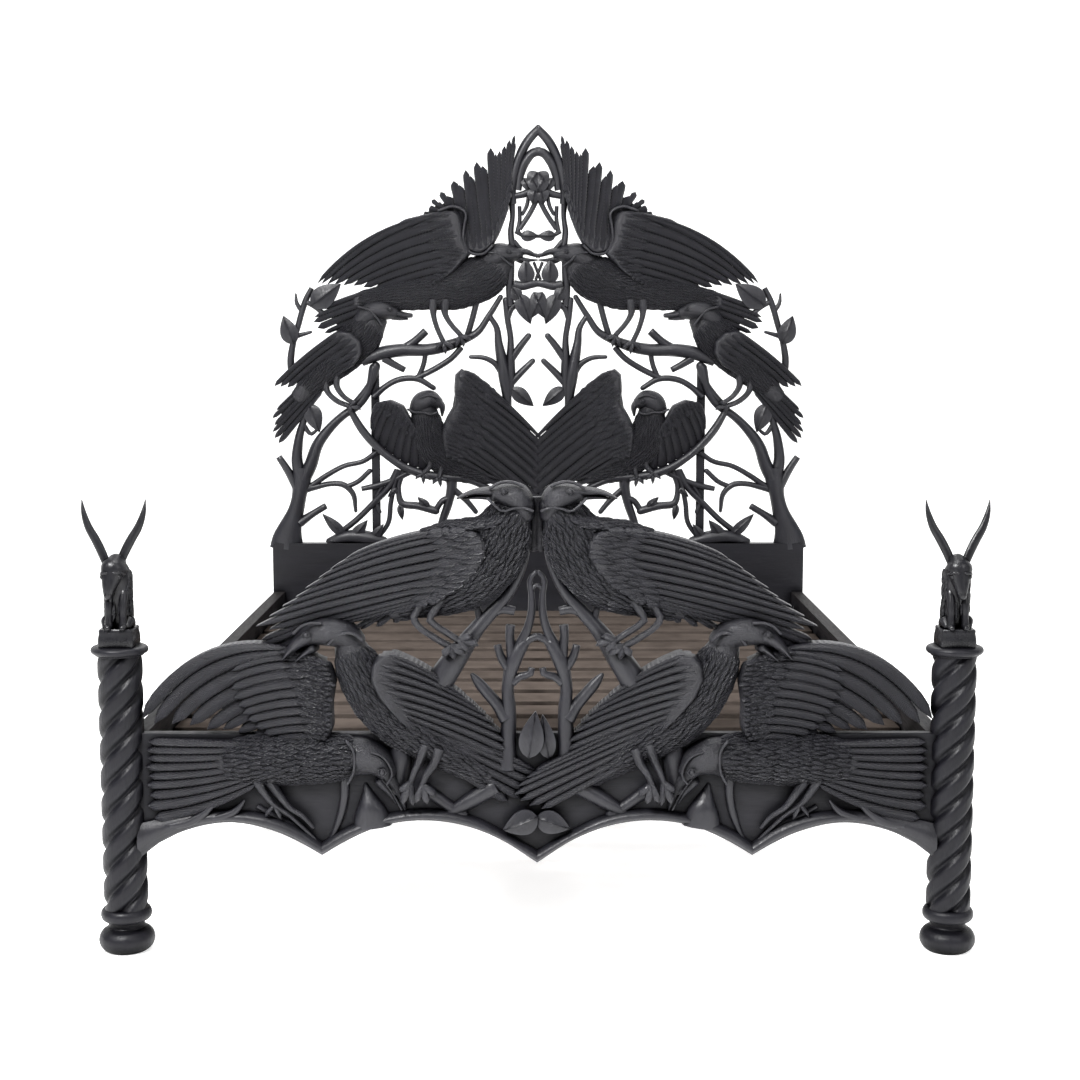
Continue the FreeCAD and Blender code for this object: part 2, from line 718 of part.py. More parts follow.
def post(x, housings):
    """A foot post in one piece: lower ring, twisted shaft and collar, bored for its foot."""
    low = BUN_HEIGHT + NECK_HEIGHT
    ring = turned(rounded_ring(low, TWIST_BOTTOM, LOWER_RING_RADIUS, RING_ROUNDING), 0, 0)
    collar = turned(rounded_ring(COLLAR_BOTTOM, COLLAR_TOP, COLLAR_RADIUS, COLLAR_ROUNDING), 0, 0)
    shaft = joined([ring, twisted_shaft(), collar])
    shaft = shaft.cut(rod(SPIGOT_RADIUS + FIT_GAP, Vector(0, 0, low - OVERRUN),
                          Vector(0, 0, low + SPIGOT_LENGTH + FIT_GAP)))
    shaft.translate(Vector(x, POST_Y, 0))
    return shaft.cut(housings)


def bun_foot(x):
    """A turned bun with a neck and a spigot that goes up into the post."""
    middle = BUN_HEIGHT / 2
    stations = [(BUN_FLAT_RADIUS, 0)]
    reach = BUN_RADIUS - NECK_RADIUS
    for degrees in BUN_ARC_DEGREES:
        turn = math.radians(degrees)
        stations.append((NECK_RADIUS + reach * math.cos(turn), middle + middle * math.sin(turn)))
    neck_top = BUN_HEIGHT + NECK_HEIGHT
    stations.append((NECK_RADIUS, BUN_HEIGHT))
    stations.append((NECK_RADIUS, neck_top))
    stations.append((SPIGOT_RADIUS, neck_top))
    stations.append((SPIGOT_RADIUS, neck_top + SPIGOT_LENGTH))
    return turned(stations, x, POST_Y)


# Rings of the beast as (sideways, forward, up, half width, half depth) in shares of its height
BEAST_BODY_SHARES = (
    (0.0, -0.16, 0.0, 0.2, 0.1), (0.0, -0.12, 0.2, 0.22, 0.17), (0.0, -0.01, 0.54, 0.17, 0.16),
    (0.0, 0.06, 0.78, 0.1, 0.1))
BEAST_HEAD_SHARES = (
    (0.0, -0.02, 0.97, 0.06, 0.04), (0.0, 0.06, 0.88, 0.12, 0.1), (0.0, 0.15, 0.68, 0.08, 0.06),
    (0.0, 0.19, 0.56, 0.06, 0.04))
BEAST_LEG_SHARES = (
    (0.13, 0.2, 0.0, 0.07, 0.09), (0.12, 0.16, 0.12, 0.045, 0.05), (0.09, 0.07, 0.6, 0.07, 0.08))
HORN_SEAT_SHARE = 0.9
PLINTH_SINK_SHARE = 0.05
HORN_CURVE_SHARES = ((0.15, 0.0), (0.2, 0.3), (0.4, 0.6), (0.72, 0.84), (1.0, 1.0))


def carved_rings(stations, unit, side):
    rings = []
    for sideways, forward, up, half_width, half_depth in stations:
        ring = []
        for i in range(FINIAL_SIDES):
            a = 2 * math.pi * i / FINIAL_SIDES
            ring.append(Vector((side * sideways + half_width * math.cos(a)) * unit,
                               (-forward + half_depth * math.sin(a)) * unit, up * unit))
        rings.append(ring)
    return rings


def horn(side):
    rings = []
    base_up = BEAST_HEIGHT * HORN_SEAT_SHARE
    for k, (out_share, up_share) in enumerate(HORN_CURVE_SHARES):
        thick = HORN_RADIUS + (HORN_TIP_RADIUS - HORN_RADIUS) * k / (len(HORN_CURVE_SHARES) - 1)
        ring = []
        for i in range(HORN_SIDES):
            a = 2 * math.pi * i / HORN_SIDES
            ring.append(Vector(side * HORN_SPREAD * out_share + thick * math.cos(a),
                               thick * math.sin(a), base_up + HORN_RISE * up_share))
        rings.append(ring)
    return skin(rings)


def finial(x):
    """A plinth with a seated beast: haunches, chest, two forelegs, bowed head, two horns."""
    half = PLINTH_SIDE / 2
    plinth = box(-half, half, -half, half, -PLINTH_HEIGHT, 0)
    sink = PLINTH_HEIGHT * PLINTH_SINK_SHARE
    forms = []
    for rings in (carved_rings(BEAST_BODY_SHARES, BEAST_HEIGHT, 1),
                  carved_rings(BEAST_HEAD_SHARES, BEAST_HEIGHT, 1),
                  carved_rings(BEAST_LEG_SHARES, BEAST_HEIGHT, 1),
                  carved_rings(BEAST_LEG_SHARES, BEAST_HEIGHT, -1)):
        forms.append(skin(rings))
    forms += [horn(1), horn(-1)]
    for form in forms[:1] + forms[2:4]:
        form.translate(Vector(0, 0, -sink))
    shape = joined([plinth] + forms)
    shape.translate(Vector(x, POST_Y, COLLAR_TOP + PLINTH_HEIGHT))
    return shape


def finial_dowel(x, room):
    """A dowel through the collar, from the post up into the plinth."""
    low = COLLAR_BOTTOM - FINIAL_DOWEL_LENGTH / 2 + COLLAR_HEIGHT / 2
    start = Vector(x, POST_Y, low - room)
    end = Vector(x, POST_Y, low + FINIAL_DOWEL_LENGTH + room)
    return rod(FINIAL_DOWEL_RADIUS + room, start, end)


# Foot panel and apron

APRON_ARCH_PX = ((140, 858), (230, 822), (323, 853), (430, 819.5), (537.5, 861))


def apron_edge():
    """The scalloped lower edge, left to right: points on its arcs."""
    half = [on_foot(px, py) for px, py in APRON_ARCH_PX]
    half[-1].x = 0
    whole = half + [Vector(-p.x, p.y, p.z) for p in reversed(half[:-1])]
    points = [whole[0]]
    for k in range(0, len(whole) - 1, 2):
        arc = Part.Arc(whole[k], whole[k + 1], whole[k + 2]).toShape()
        points += arc.discretize(Number=SCALLOP_CHORDS + 1)[1:]
    return points


def apron_blank(y0, y1, top_z):
    """A board between the posts with the scalloped lower edge and a straight top."""
    edge = apron_edge()
    reach = POST_SPACING / 2 - POST_RADIUS + TWIST_DEPTH + TENON_LENGTH
    low = edge[0]
    outline = [Vector(-reach, low.y, low.z)] + edge + [Vector(reach, low.y, low.z)]
    outline += [Vector(reach, low.y, top_z), Vector(-reach, low.y, top_z)]
    face = flat(outline)
    face.translate(Vector(0, y0 - low.y, 0))
    return face.extrude(Vector(0, y1 - y0, 0))


def foot_panel():
    return apron_blank(PANEL_FRONT, PANEL_BACK, PANEL_TOP)


def apron_rail():
    """The raised moulding that follows the scallops, planted on the panel's face.

    It is deepest at the cusps and level on top of the arches.
    """
    crest = max(p.z for p in apron_edge())
    whole = apron_blank(PANEL_FRONT - APRON_PROUD, PANEL_FRONT, crest + APRON_CREST_DEPTH)
    above = whole.copy()
    above.translate(Vector(0, 0, APRON_DEPTH))
    return main_solids(whole.cut(above))


# Headboard boards

def lower_board():
    half = HEADBOARD_WIDTH / 2
    right = [Vector(half, BOARD_FRONT, BOARD_BOTTOM)]
    for i in range(CORNER_CHORDS + 1):
        a = math.pi / 2 * i / CORNER_CHORDS
        right.append(Vector(half - BOARD_CORNER + BOARD_CORNER * math.cos(a), BOARD_FRONT,
                            BOARD_TOP - BOARD_CORNER + BOARD_CORNER * math.sin(a)))
    left = [Vector(-p.x, p.y, p.z) for p in reversed(right)]
    return flat(right + left).extrude(Vector(0, BOARD_THICKNESS, 0))


def head_leg(side):
    outer = side * HEADBOARD_WIDTH / 2
    inner = outer - side * HEAD_LEG_WIDTH
    return box(min(outer, inner), max(outer, inner), BOARD_BACK, BOARD_BACK + HEAD_LEG_DEPTH,
               0, HEAD_LEG_TOP)


UPRIGHT_TOP_PX = (375.0, 364.0)


def upright(side):
    """A plain bar let into the back of the board, rising behind the openwork."""
    middle = on_head(*UPRIGHT_TOP_PX)
    x = -side * middle.x
    low = BOARD_TOP - UPRIGHT_LAP
    return box(x - UPRIGHT_WIDTH / 2, x + UPRIGHT_WIDTH / 2,
               BOARD_BACK - UPRIGHT_THICKNESS, BOARD_BACK, low, middle.z)


# Rails, ledgers, slats and beam

def side_rail(side):
    inner = side * INNER_WIDTH / 2
    outer = inner + side * RAIL_THICKNESS
    rail = box(min(inner, outer), max(inner, outer), PANEL_BACK, BOARD_FRONT, RAIL_BOTTOM, RAIL_TOP)
    middle_x = side * POST_SPACING / 2
    cope = rod(POST_RADIUS + FIT_GAP, Vector(middle_x, POST_Y, RAIL_BOTTOM - OVERRUN),
               Vector(middle_x, POST_Y, RAIL_TOP + OVERRUN), TURNING_SIDES)
    return rail.cut(cope)


def ledger(side):
    outer = side * INNER_WIDTH / 2
    inner = outer - side * LEDGER_WIDTH
    return box(min(inner, outer), max(inner, outer), PANEL_BACK + BRACKET_PLATE + FIT_GAP,
               BOARD_FRONT, SLAT_BOTTOM - LEDGER_HEIGHT, SLAT_BOTTOM)


def slats():
    half = INNER_WIDTH / 2 - SLAT_END_ROOM
    pitch = SLAT_WIDTH + SLAT_SPACE
    count = int((INNER_LENGTH - SLAT_SPACE) // pitch)
    first = (PANEL_BACK + BOARD_FRONT) / 2 - pitch * (count - 1) / 2
    boards = []
    for k in range(count):
        y = first + pitch * k
        boards.append(box(-half, half, y - SLAT_WIDTH / 2, y + SLAT_WIDTH / 2, SLAT_BOTTOM, SLAT_TOP))
    return Part.makeCompound(boards)


def centre_beam():
    return box(-BEAM_WIDTH / 2, BEAM_WIDTH / 2, PANEL_BACK, BOARD_FRONT,
               SLAT_BOTTOM - BEAM_HEIGHT, SLAT_BOTTOM)


def beam_legs():
    """Two props under the beam, set back so that the apron hides them from the foot end."""
    legs = []
    span = BOARD_FRONT - PANEL_BACK
    for share in BEAM_LEG_SHARES:
        y = PANEL_BACK + span * share
        legs.append(box(-BEAM_LEG_SIDE / 2, BEAM_LEG_SIDE / 2, y - BEAM_LEG_SIDE / 2,
                        y + BEAM_LEG_SIDE / 2, 0, SLAT_BOTTOM - BEAM_HEIGHT))
    return Part.makeCompound(legs)


def beam_cleats():
    """Blocks on the panel and the board that carry the ends of the beam."""
    top = SLAT_BOTTOM - BEAM_HEIGHT
    foot = box(-CLEAT_WIDTH / 2, CLEAT_WIDTH / 2, PANEL_BACK, PANEL_BACK + CLEAT_DEPTH,
               top - CLEAT_HEIGHT, top)
    head = box(-CLEAT_WIDTH / 2, CLEAT_WIDTH / 2, BOARD_FRONT - CLEAT_DEPTH, BOARD_FRONT,
               top - CLEAT_HEIGHT, top)
    return Part.makeCompound([foot, head])


# Fasteners

def bolt_places():
    places = []
    for side in (-1, 1):
        for z in (RAIL_BOTTOM + BOLT_FROM_EDGE, RAIL_TOP - BOLT_FROM_EDGE):
            places.append(Vector(side * (INNER_WIDTH / 2 + RAIL_THICKNESS / 2),
                                 BOARD_BACK + HEAD_LEG_DEPTH, z))
    return places


def bolt_shank(place, room):
    return rod(BOLT_RADIUS + room, place, place - BACKWARD * (bolt_length() + room))


def bolt_length():
    return HEAD_LEG_DEPTH + BOARD_THICKNESS + BOLT_REACH


def bed_bolts():
    """Bolts through the head legs and the board into the ends of the rails."""
    bolts = []
    for place in bolt_places():
        head = rod(BOLT_HEAD_RADIUS, place - BACKWARD * BOLT_HEAD_HEIGHT, place)
        bolts.append(joined([bolt_shank(place, 0.0), head]))
    return Part.makeCompound(bolts)


def bolt_holes():
    """Clearance holes with a pocket that takes the bolt's head."""
    holes = []
    for place in bolt_places():
        holes.append(bolt_shank(place, FIT_GAP))
        holes.append(rod(BOLT_HEAD_RADIUS + FIT_GAP, place - BACKWARD * BOLT_HEAD_HEIGHT,
                         place + BACKWARD * OVERRUN))
    return holes


def barrel(place, room):
    """A cross nut in the rail, on the bolt's axis, bored for the bolt."""
    side = 1 if place.x > 0 else -1
    middle = place - BACKWARD * (bolt_length() - 2 * BARREL_RADIUS)
    start = Vector(side * INNER_WIDTH / 2, middle.y, middle.z)
    return rod(BARREL_RADIUS + room, start,
               start + SIDEWAYS * (side * (RAIL_THICKNESS / 2 + BARREL_RADIUS + room)))


def barrel_nuts():
    nuts = [barrel(p, 0.0).cut(bolt_shank(p, FIT_GAP)) for p in bolt_places()]
    return Part.makeCompound(nuts)


def barrel_holes():
    return [barrel(place, FIT_GAP) for place in bolt_places()]


def corner_brackets():
    """Steel angles inside the foot corners, on the panel and on the rails."""
    brackets = []
    low = SLAT_BOTTOM - LEDGER_HEIGHT - BRACKET_HEIGHT
    for side in (-1, 1):
        face = side * INNER_WIDTH / 2
        tip = face - side * BRACKET_LEG
        skin_x = face - side * BRACKET_PLATE
        on_panel = box(min(face, tip), max(face, tip), PANEL_BACK, PANEL_BACK + BRACKET_PLATE,
                       low, low + BRACKET_HEIGHT)
        on_rail = box(min(face, skin_x), max(face, skin_x), PANEL_BACK,
                      PANEL_BACK + BRACKET_LEG, low, low + BRACKET_HEIGHT)
        brackets.append(joined([on_panel, on_rail]))
    return Part.makeCompound(brackets)


# The whole bed

def left_and_right(nodes, name, left, right):
    nodes[name + "_left"] = left
    nodes[name + "_right"] = right


def build():
    nodes = {}
    half_post = POST_SPACING / 2
    panel = foot_panel()
    apron = apron_rail()
    dowels = [finial_dowel(x, 0.0) for x in (-half_post, half_post)]
    dowel_holes = [finial_dowel(x, FIT_GAP) for x in (-half_post, half_post)]
    posts = [post(x, [panel, apron] + dowel_holes) for x in (-half_post, half_post)]
    finials = [finial(x).cut(dowel_holes) for x in (-half_post, half_post)]
    left_and_right(nodes, "twisted_post", *posts)
    left_and_right(nodes, "bun_foot", bun_foot(-half_post), bun_foot(half_post))
    left_and_right(nodes, "finial", *finials)
    nodes["finial_dowels"] = Part.makeCompound(dowels)
    nodes["foot_panel"] = panel
    nodes["apron_rail"] = apron

    # Base
    holes = bolt_holes() + barrel_holes()
    legs = [head_leg(side).cut(holes) for side in (-1, 1)]
    bars = [upright(side) for side in (-1, 1)]
    board = lower_board().cut(bars + holes)
    rails = [side_rail(side).cut(holes) for side in (-1, 1)]
    left_and_right(nodes, "head_leg", *legs)
    left_and_right(nodes, "headboard_upright", *bars)
    nodes["headboard_lower_board"] = board
    left_and_right(nodes, "side_rail", *rails)
    left_and_right(nodes, "slat_ledger", ledger(-1), ledger(1))
    nodes["slats"] = slats()
    nodes["centre_beam"] = centre_beam()
    nodes["beam_legs"] = beam_legs()
    nodes["beam_cleats"] = beam_cleats()
    nodes["bed_bolts"] = bed_bolts()
    nodes["barrel_nuts"] = barrel_nuts()
    nodes["corner_brackets"] = corner_brackets()

    # Foot carving: the left half is carved and mirrored, and each piece is housed
    # round the ones that lie over it.
    reach = HEADBOARD_WIDTH
    right_half = box(0, reach, -reach * 2, reach * 2, 0, reach * 2)
    solid_foot = [panel, apron, posts[0]]
    upper = without(upper_foot_raven(), [right_half])
    lower = without(lower_foot_raven(), solid_foot)
    flying = without(flying_raven(), solid_foot + [lower])
    upper = without(upper, [lower, flying])
    trunk = without(foot_trunk(), [panel, lower, upper, right_half])
    thick = without(foot_limb(), [panel, lower, upper, trunk])
    twigs = without(apron_branches(), solid_foot + [lower, flying])
    lower_right = mirrored(lower)
    lower_left = without(lower, [lower_right])
    trunk = without(trunk, [lower_right])
    left_and_right(nodes, "foot_upper_raven", upper, mirrored(upper))
    left_and_right(nodes, "foot_lower_raven", lower_left, lower_right)
    left_and_right(nodes, "foot_flying_raven", flying, mirrored(flying))
    left_and_right(nodes, "foot_trunk", trunk, mirrored(trunk))
    left_and_right(nodes, "foot_limb", thick, mirrored(thick))
    left_and_right(nodes, "apron_branches", twigs, mirrored(twigs))
    birds = [lower_left, lower_right, trunk, mirrored(trunk), panel, apron]
    nodes["foot_upper_leaves"] = without(foot_upper_leaves(), birds)
    nodes["foot_lower_leaves"] = without(foot_lower_leaves(), birds)

    # Headboard openwork
    top = without(top_raven(), [right_half])
    side = side_raven()
    spread = without(spread_raven(), [right_half, bars[0]])
    side = without(side, [bars[0]])
    top = without(top, [side])
    seat = [board, bars[0]]
    wood = without(tree(), seat + [side, spread])
    stick = without(perch(), [side, spread, top, wood, bars[0]])
    net = without(undergrowth(), seat + [side, spread, wood, stick])
    stem = without(centre_trunk(), [spread, stick, top, right_half])
    twig = without(side_twig(), [side, top, wood])
    left_and_right(nodes, "top_raven", top, mirrored(top))
    left_and_right(nodes, "side_raven", side, mirrored(side))
    left_and_right(nodes, "spread_raven", spread, mirrored(spread))
    left_and_right(nodes, "tree", wood, mirrored(wood))
    left_and_right(nodes, "perch_branch", stick, mirrored(stick))
    left_and_right(nodes, "undergrowth", net, mirrored(net))
    left_and_right(nodes, "centre_trunk", stem, mirrored(stem))
    left_and_right(nodes, "side_twig", twig, mirrored(twig))
    tops = [top, mirrored(top)]
    arch = without(both_halves(arch_half(), [
        limb(on_head, ARCH_STEM_PX, HEAD_LIMB_DEPTH)]), tops)
    crown = without(both_halves(crown_leaf_half(), []), tops + [arch])
    leaves = without(both_halves(centre_leaf_half(), []), tops + [stem, mirrored(stem)])
    nodes["arch"] = arch
    nodes["crown_leaves"] = crown
    nodes["centre_leaves"] = leaves
    return nodes


def main():
    os.makedirs("parts", exist_ok=True)
    for name, shape in build().items():
        solids = shape.Solids
        kept = solids[0] if len(solids) == 1 else Part.makeCompound(solids)
        kept.exportStep("parts/" + name + ".step")


main()
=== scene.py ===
import math
import random

import bmesh
import bpy
import numpy as np
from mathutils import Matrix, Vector


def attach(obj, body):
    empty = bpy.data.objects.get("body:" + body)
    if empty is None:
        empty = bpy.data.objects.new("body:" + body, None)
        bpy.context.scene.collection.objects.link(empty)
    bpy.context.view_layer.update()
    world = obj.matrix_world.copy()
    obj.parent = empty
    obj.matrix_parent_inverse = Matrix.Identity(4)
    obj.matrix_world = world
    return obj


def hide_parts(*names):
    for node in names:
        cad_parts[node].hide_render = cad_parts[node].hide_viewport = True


bl_info = {
    "name": "Carved Raven Bed",
    "version": (1, 0, 0),
    "blender": (4, 5, 0),
    "location": "View3D > Sidebar > Carved Bed",
    "description": "Carves ravens, branches, twisted posts and boards round a bed frame, in a studio",
    "category": "Object",
}

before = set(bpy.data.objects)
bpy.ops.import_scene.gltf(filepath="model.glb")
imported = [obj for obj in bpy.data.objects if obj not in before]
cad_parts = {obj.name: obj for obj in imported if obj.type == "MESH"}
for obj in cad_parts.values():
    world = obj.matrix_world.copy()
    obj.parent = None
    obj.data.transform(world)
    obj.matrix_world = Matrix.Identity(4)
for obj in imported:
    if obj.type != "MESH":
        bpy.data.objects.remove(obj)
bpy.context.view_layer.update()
BODY = "root"
SIDES = ("left", "right")
MM = 0.001

# The pattern: places are pixels of a front view taken a little from above,
# worked out in metres on the upright plane of each carving.
FOCAL_PX = 1800.0
LEVEL_SHIFT_PX = 208.0
MIDDLE_PX = 540.0
TILT_SHARE = LEVEL_SHIFT_PX / FOCAL_PX
UPRIGHT_SHARE = math.cos(math.atan(TILT_SHARE))
EYE_HEIGHT = 1.295
EYE_BACK = 4.716
EYE_ASIDE = 0.006

# Main places of the bed, in metres
POST_SPACING = 1.732
POST_X = POST_SPACING / 2
POST_Y = -1.034
PANEL_FRONT = -1.046
PANEL_TOP = 0.467
HEADBOARD_WIDTH = 1.700
HEAD_MID = 1.028
BOARD_TOP = 0.622
COLLAR_TOP = 0.650
PLINTH_TOP = 0.688

# Ends of bars, as (offset, width) shares of the radius there
ENDS = {
    "flat": (),
    "round": ((0.45, 0.88), (0.78, 0.6), (0.97, 0.22)),
    "sawn": ((0.06, 0.93), (0.06, 0.8), (-0.08, 0.72)),
}

# Bark: ridges round a limb, their turn in a metre, and their shares of the height and of the phase
BARK_WAVES = ((3, 38.0, 1.0, 1.0), (5, -55.0, 0.6, 2.0))
BARK_PHASE = 1.7
LIMB_BARK = 0.035
LIMB_STEP = 0.012

# Grain and leaves
GRAIN_TAG_STEP = 0.61803
LEAF_STATIONS = 15
LEAF_SECTION_SHARES = (-1.0, -0.66, -0.33, -0.07, 0.0, 0.07, 0.33, 0.66, 1.0)
LEAF_BOW = 0.004
LEAF_VEIN = 0.0012
LEAF_MIDRIB = 0.0016
LEAF_FOLD_SHARE = 0.35
LEAF_VEIN_SLANT = 0.35
LEAF_VEINS = 4
LEAF_OUTLINE_POWERS = (0.72, 0.85)
LEAF_LEAST_SHARE = 0.04
LEAF_BACK_SHARES = (0.96, 0.4)

# Small pointed locks of feathers: their form, and how they are laid over a body
LOCK_WIDTH_SHARES = (0.4, 0.95, 1.0, 0.66, 0.08)
LOCK_LIFT_SHARES = (0.05, 0.75, 1.0, 0.85, 0.3)
LOCK_SECTION_SHARES = ((-1.0, -0.2), (-0.55, 0.6), (0.0, 1.0), (0.55, 0.6), (1.0, -0.2), (0.0, -1.3))
LOCK_STEPS = (0.0, 0.25, 0.5, 0.75, 1.0)
LOCK_ROW_SHARE = 0.42
LOCK_SPACE_SHARE = 1.55
LOCK_SHIFT_SHARE = 0.3
LOCK_DRIFT = 0.16
LOCK_LEAST_SHARE = 0.3
LOCK_LEAST_SIZE, LOCK_SIZE_RANGE = 0.8, 0.4

# Bodies, heads and legs of the birds
BODY_STATIONS = 30
MANTLE_STATIONS = 16
MANTLE_AREA = (0.0, 0.95, 0.05, 0.95)
SKULL_STATIONS = 18
SKULL_SIDES = 18
LEG_BARK = 0.06
CLAW_BARK = 0.05
TRUNK_END_SHARE = 0.6

# How far the backs of forms stand inside the flat back of the wood, as (least, step, steps),
# so that no two lie on one plane
TRUNK_BACK = (0.0035, 0.0004, 3)
FEATHER_BACK = (0.0008, 0.0005, 3)
SKIN_BACK = (0.0052, 0.0006, 4)
FAN_SHIFT = 0.00013

# Long feathers
FEATHER_SECTION_SHARES = (-1.0, -0.88, -0.6, 0.0, 0.6, 0.88, 1.0)
FEATHER_STATIONS = 18
FEATHER_HALF_RANGE = (0.004, 0.03)
FEATHER_TILT = 0.25
FEATHER_TILT_SHARE = 0.3
FEATHER_CROWN_SHARE = 0.55
FEATHER_SHAFT_SHARE = 0.12
FEATHER_BACK_WIDTH_SHARE = 0.97
FEATHER_TIP_POWERS = (2.2, 0.7)
ROOT_ROUNDING_SHARE = 0.06
LEAST_SHARE = 0.02

# What a fan's drawing need not say; rise, tip and crown are heights in millimetres
FAN_DEFAULTS = {
    "bows": (0.0, 0.0), "rise": 22, "tip": 3, "crown": 8, "fill": 0.97, "taper": 0.86, "rib": 0.005,
    "shoulder": 0.24, "coverts": (), "covert_height": 0.004,
}

# The skins that lie over a fan's root, as shares of its length and of its ribs
SKIN_ACROSS = 24
SKIN_STEPS = 16
SKIN_FALL_POWER = 1.4
SKIN_END_SHARE = 0.25
SKIN_SIDE_SHARE = 0.09
SKIN_RIM_SHARE = 0.35
BED_SPAN = (0.02, 0.8)
BED_DEPTH_SHARE = -0.3
BED_INSET = 0.04
SHOULDER_START = -0.025
SHOULDER_RISE_SHARE = 1.25
SHOULDER_END_SHARE = -0.2
COVERT_DEPTH_SHARE = 0.3
COVERT_WIDTH_SHARE = 0.6
COVERT_LEAST_SHARE = 0.55
COVERT_SHIFT_SHARE = 0.35

# Twist of the posts
TWIST_LOW, TWIST_HIGH = 0.092, 0.630
TWIST_OVERRUN = 0.004
TWIST_STEPS = 150
TWIST_CORNERS = 96
TWIST_RADIUS = 0.0462
TWIST_STARTS = 4
TWIST_GROOVE_POWER = 3.2

# Beasts, apron moulding and boards
FORM_STATIONS = 14
COAT_LOCKS = 110
COAT_TOP, COAT_HEIGHT = 0.124, 0.090
COAT_RADIUS = 0.0268
COAT_LOCK_DROP = 0.0055
COAT_LOCK_SIZE = (0.0034, 0.0026)
BARE_FACE_HEIGHT = 0.062
HORN_STATIONS = 26
HORN_DEPTH = 0.0052
HORN_BEND = 0.0008
APRON_STATIONS = 48
APRON_STEPS = 12
APRON_LEAST = 0.004
APRON_BULGE = 0.0165
APRON_GROOVE = 0.0025
APRON_GROOVE_PLACE, APRON_GROOVE_WIDTH = 0.2, 0.05
APRON_SET_IN = 0.0005
HEAD_DEPTH_SHARE = 0.8
BOARD_SHARP_ANGLE = 35

# Finishes
STREAK_SPREAD = 0.22
PORE_FINENESS = 7.0
PORE_LEVEL = 0.42
PORE_CONTRAST = 4.0
PORE_ROUGHNESS = 0.12
PORE_HEIGHT = 0.5
# Raised edges above this pointiness are lightened, partly as wear and partly as a painted sheen
EDGE_LEVEL = 0.51
EDGE_POLISH = 0.08
BARB_SHIFT = 7.0
# The share of the dark streak colour that is painted into cuts as shade
PAINTED_CUT_SHADE = 0.12

# Studio: a floor that sweeps up into a wall, its glow, the air, the lights and the camera
FLOOR_REACH = 40.0
SWEEP_START = 7.0
SWEEP_RADIUS = 3.0
SWEEP_STEPS = 16
WALL_TOP = 22.0
FLOOR_GLOW = 0.68
AIR_STRENGTH = 0.2
SENSOR_MM = 36.0
PICTURE_PX = 1080.0
LIGHTS = (
    ("key_light", (-2.2, -4.0, 4.4), (0, -0.6, 0.5), 1.0, 540.0),
    ("fill_light", (3.2, -4.2, 3.2), (0, -0.4, 0.7), 2.4, 80.0),
    ("top_light", (0.0, -0.9, 4.8), (0, -0.2, 0.4), 2.2, 120.0),
    ("back_light", (0.0, 3.6, 4.4), (0, 0.9, 1.0), 2.6, 60.0),
)


# Drawing helpers

def spline(points, count, places=2):
    """Even samples of a smooth curve through rows of numbers, whose first columns are places."""
    rows = np.array(points, float)
    if len(rows) < 3:
        return [rows[0] + (rows[-1] - rows[0]) * u for u in np.linspace(0, 1, count)]
    steps = np.linalg.norm(np.diff(rows[:, :places], axis=0), axis=1)
    knots = np.concatenate(([0.0], np.cumsum(np.maximum(steps, 1e-6))))
    slopes = np.gradient(rows, knots, axis=0)
    samples = []
    for s in np.linspace(0, knots[-1], count):
        k = min(int(np.searchsorted(knots, s, side="right")) - 1, len(rows) - 2)
        h = knots[k + 1] - knots[k]
        t = (s - knots[k]) / h
        samples.append((2 * t ** 3 - 3 * t ** 2 + 1) * rows[k]
                       + (t ** 3 - 2 * t ** 2 + t) * h * slopes[k]
                       + (3 * t ** 2 - 2 * t ** 3) * rows[k + 1]
                       + (t ** 3 - t ** 2) * h * slopes[k + 1])
    return samples


def along(path, share):
    """The point at a share of a polyline's length."""
    rows = np.array(path, float)
    steps = np.linalg.norm(np.diff(rows, axis=0), axis=1)
    left = share * steps.sum()
    for k, step in enumerate(steps):
        if left <= step or k == len(steps) - 1:
            return rows[k] + (rows[k + 1] - rows[k]) * min(left / step, 1.0)
        left -= step


def round_turns(sides):
    """The angles of a ring's corners."""
    return [2 * math.pi * i / sides for i in range(sides)]


def rounded(share, least=0.0):
    """The width of a round end at a share of its length."""
    return math.sqrt(max(1 - (1 - min(share, 1.0)) ** 2, least))


def end_stations(k, count, start="round", end="round"):
    """The rings at station k as (offset, width) shares: one, and more at an end that isn't flat."""
    stations = [(0.0, 1.0)]
    if k == 0:
        stations = [(-offset, width) for offset, width in reversed(ENDS[start])] + stations
    if k == count - 1:
        stations += ENDS[end]
    return stations


class PatternPlane:
    """Turns pattern pixels into metres on one upright plane of the bed."""

    def __init__(self, scale, centre, level_row, level_z, y, back, front):
        self.scale = scale
        self.centre = centre
        self.level_z = level_z
        self.level_drop = self.drop(level_row)
        self.y = y
        self.back = back
        self.front = front

    def drop(self, row):
        below = row - MIDDLE_PX
        return (below + LEVEL_SHIFT_PX) / (1 - TILT_SHARE * below / FOCAL_PX)

    def at(self, column, row, out=0.0):
        near = 1 - TILT_SHARE * (row - MIDDLE_PX) / FOCAL_PX
        fall = self.drop(row) - self.level_drop
        return Vector(((column - self.centre) * self.scale / near, self.y - out,
                       self.level_z - self.scale * UPRIGHT_SHARE * fall))

    def back_at(self, inset, forms):
        """How far behind the plane a form's back lies, so that no two backs coincide."""
        clear, step, count = inset
        return self.back - clear - step * (forms % count)


FOOT = PatternPlane(POST_SPACING / 843.8, 537.5, 733.0, PANEL_TOP, PANEL_FRONT, 0.024, 0.040)
HEAD = PatternPlane(HEADBOARD_WIDTH / 529.6, 538.5, 543.0, BOARD_TOP, HEAD_MID, 0.012, 0.032)
TOWARDS_BACK = Vector((0, 1, 0))


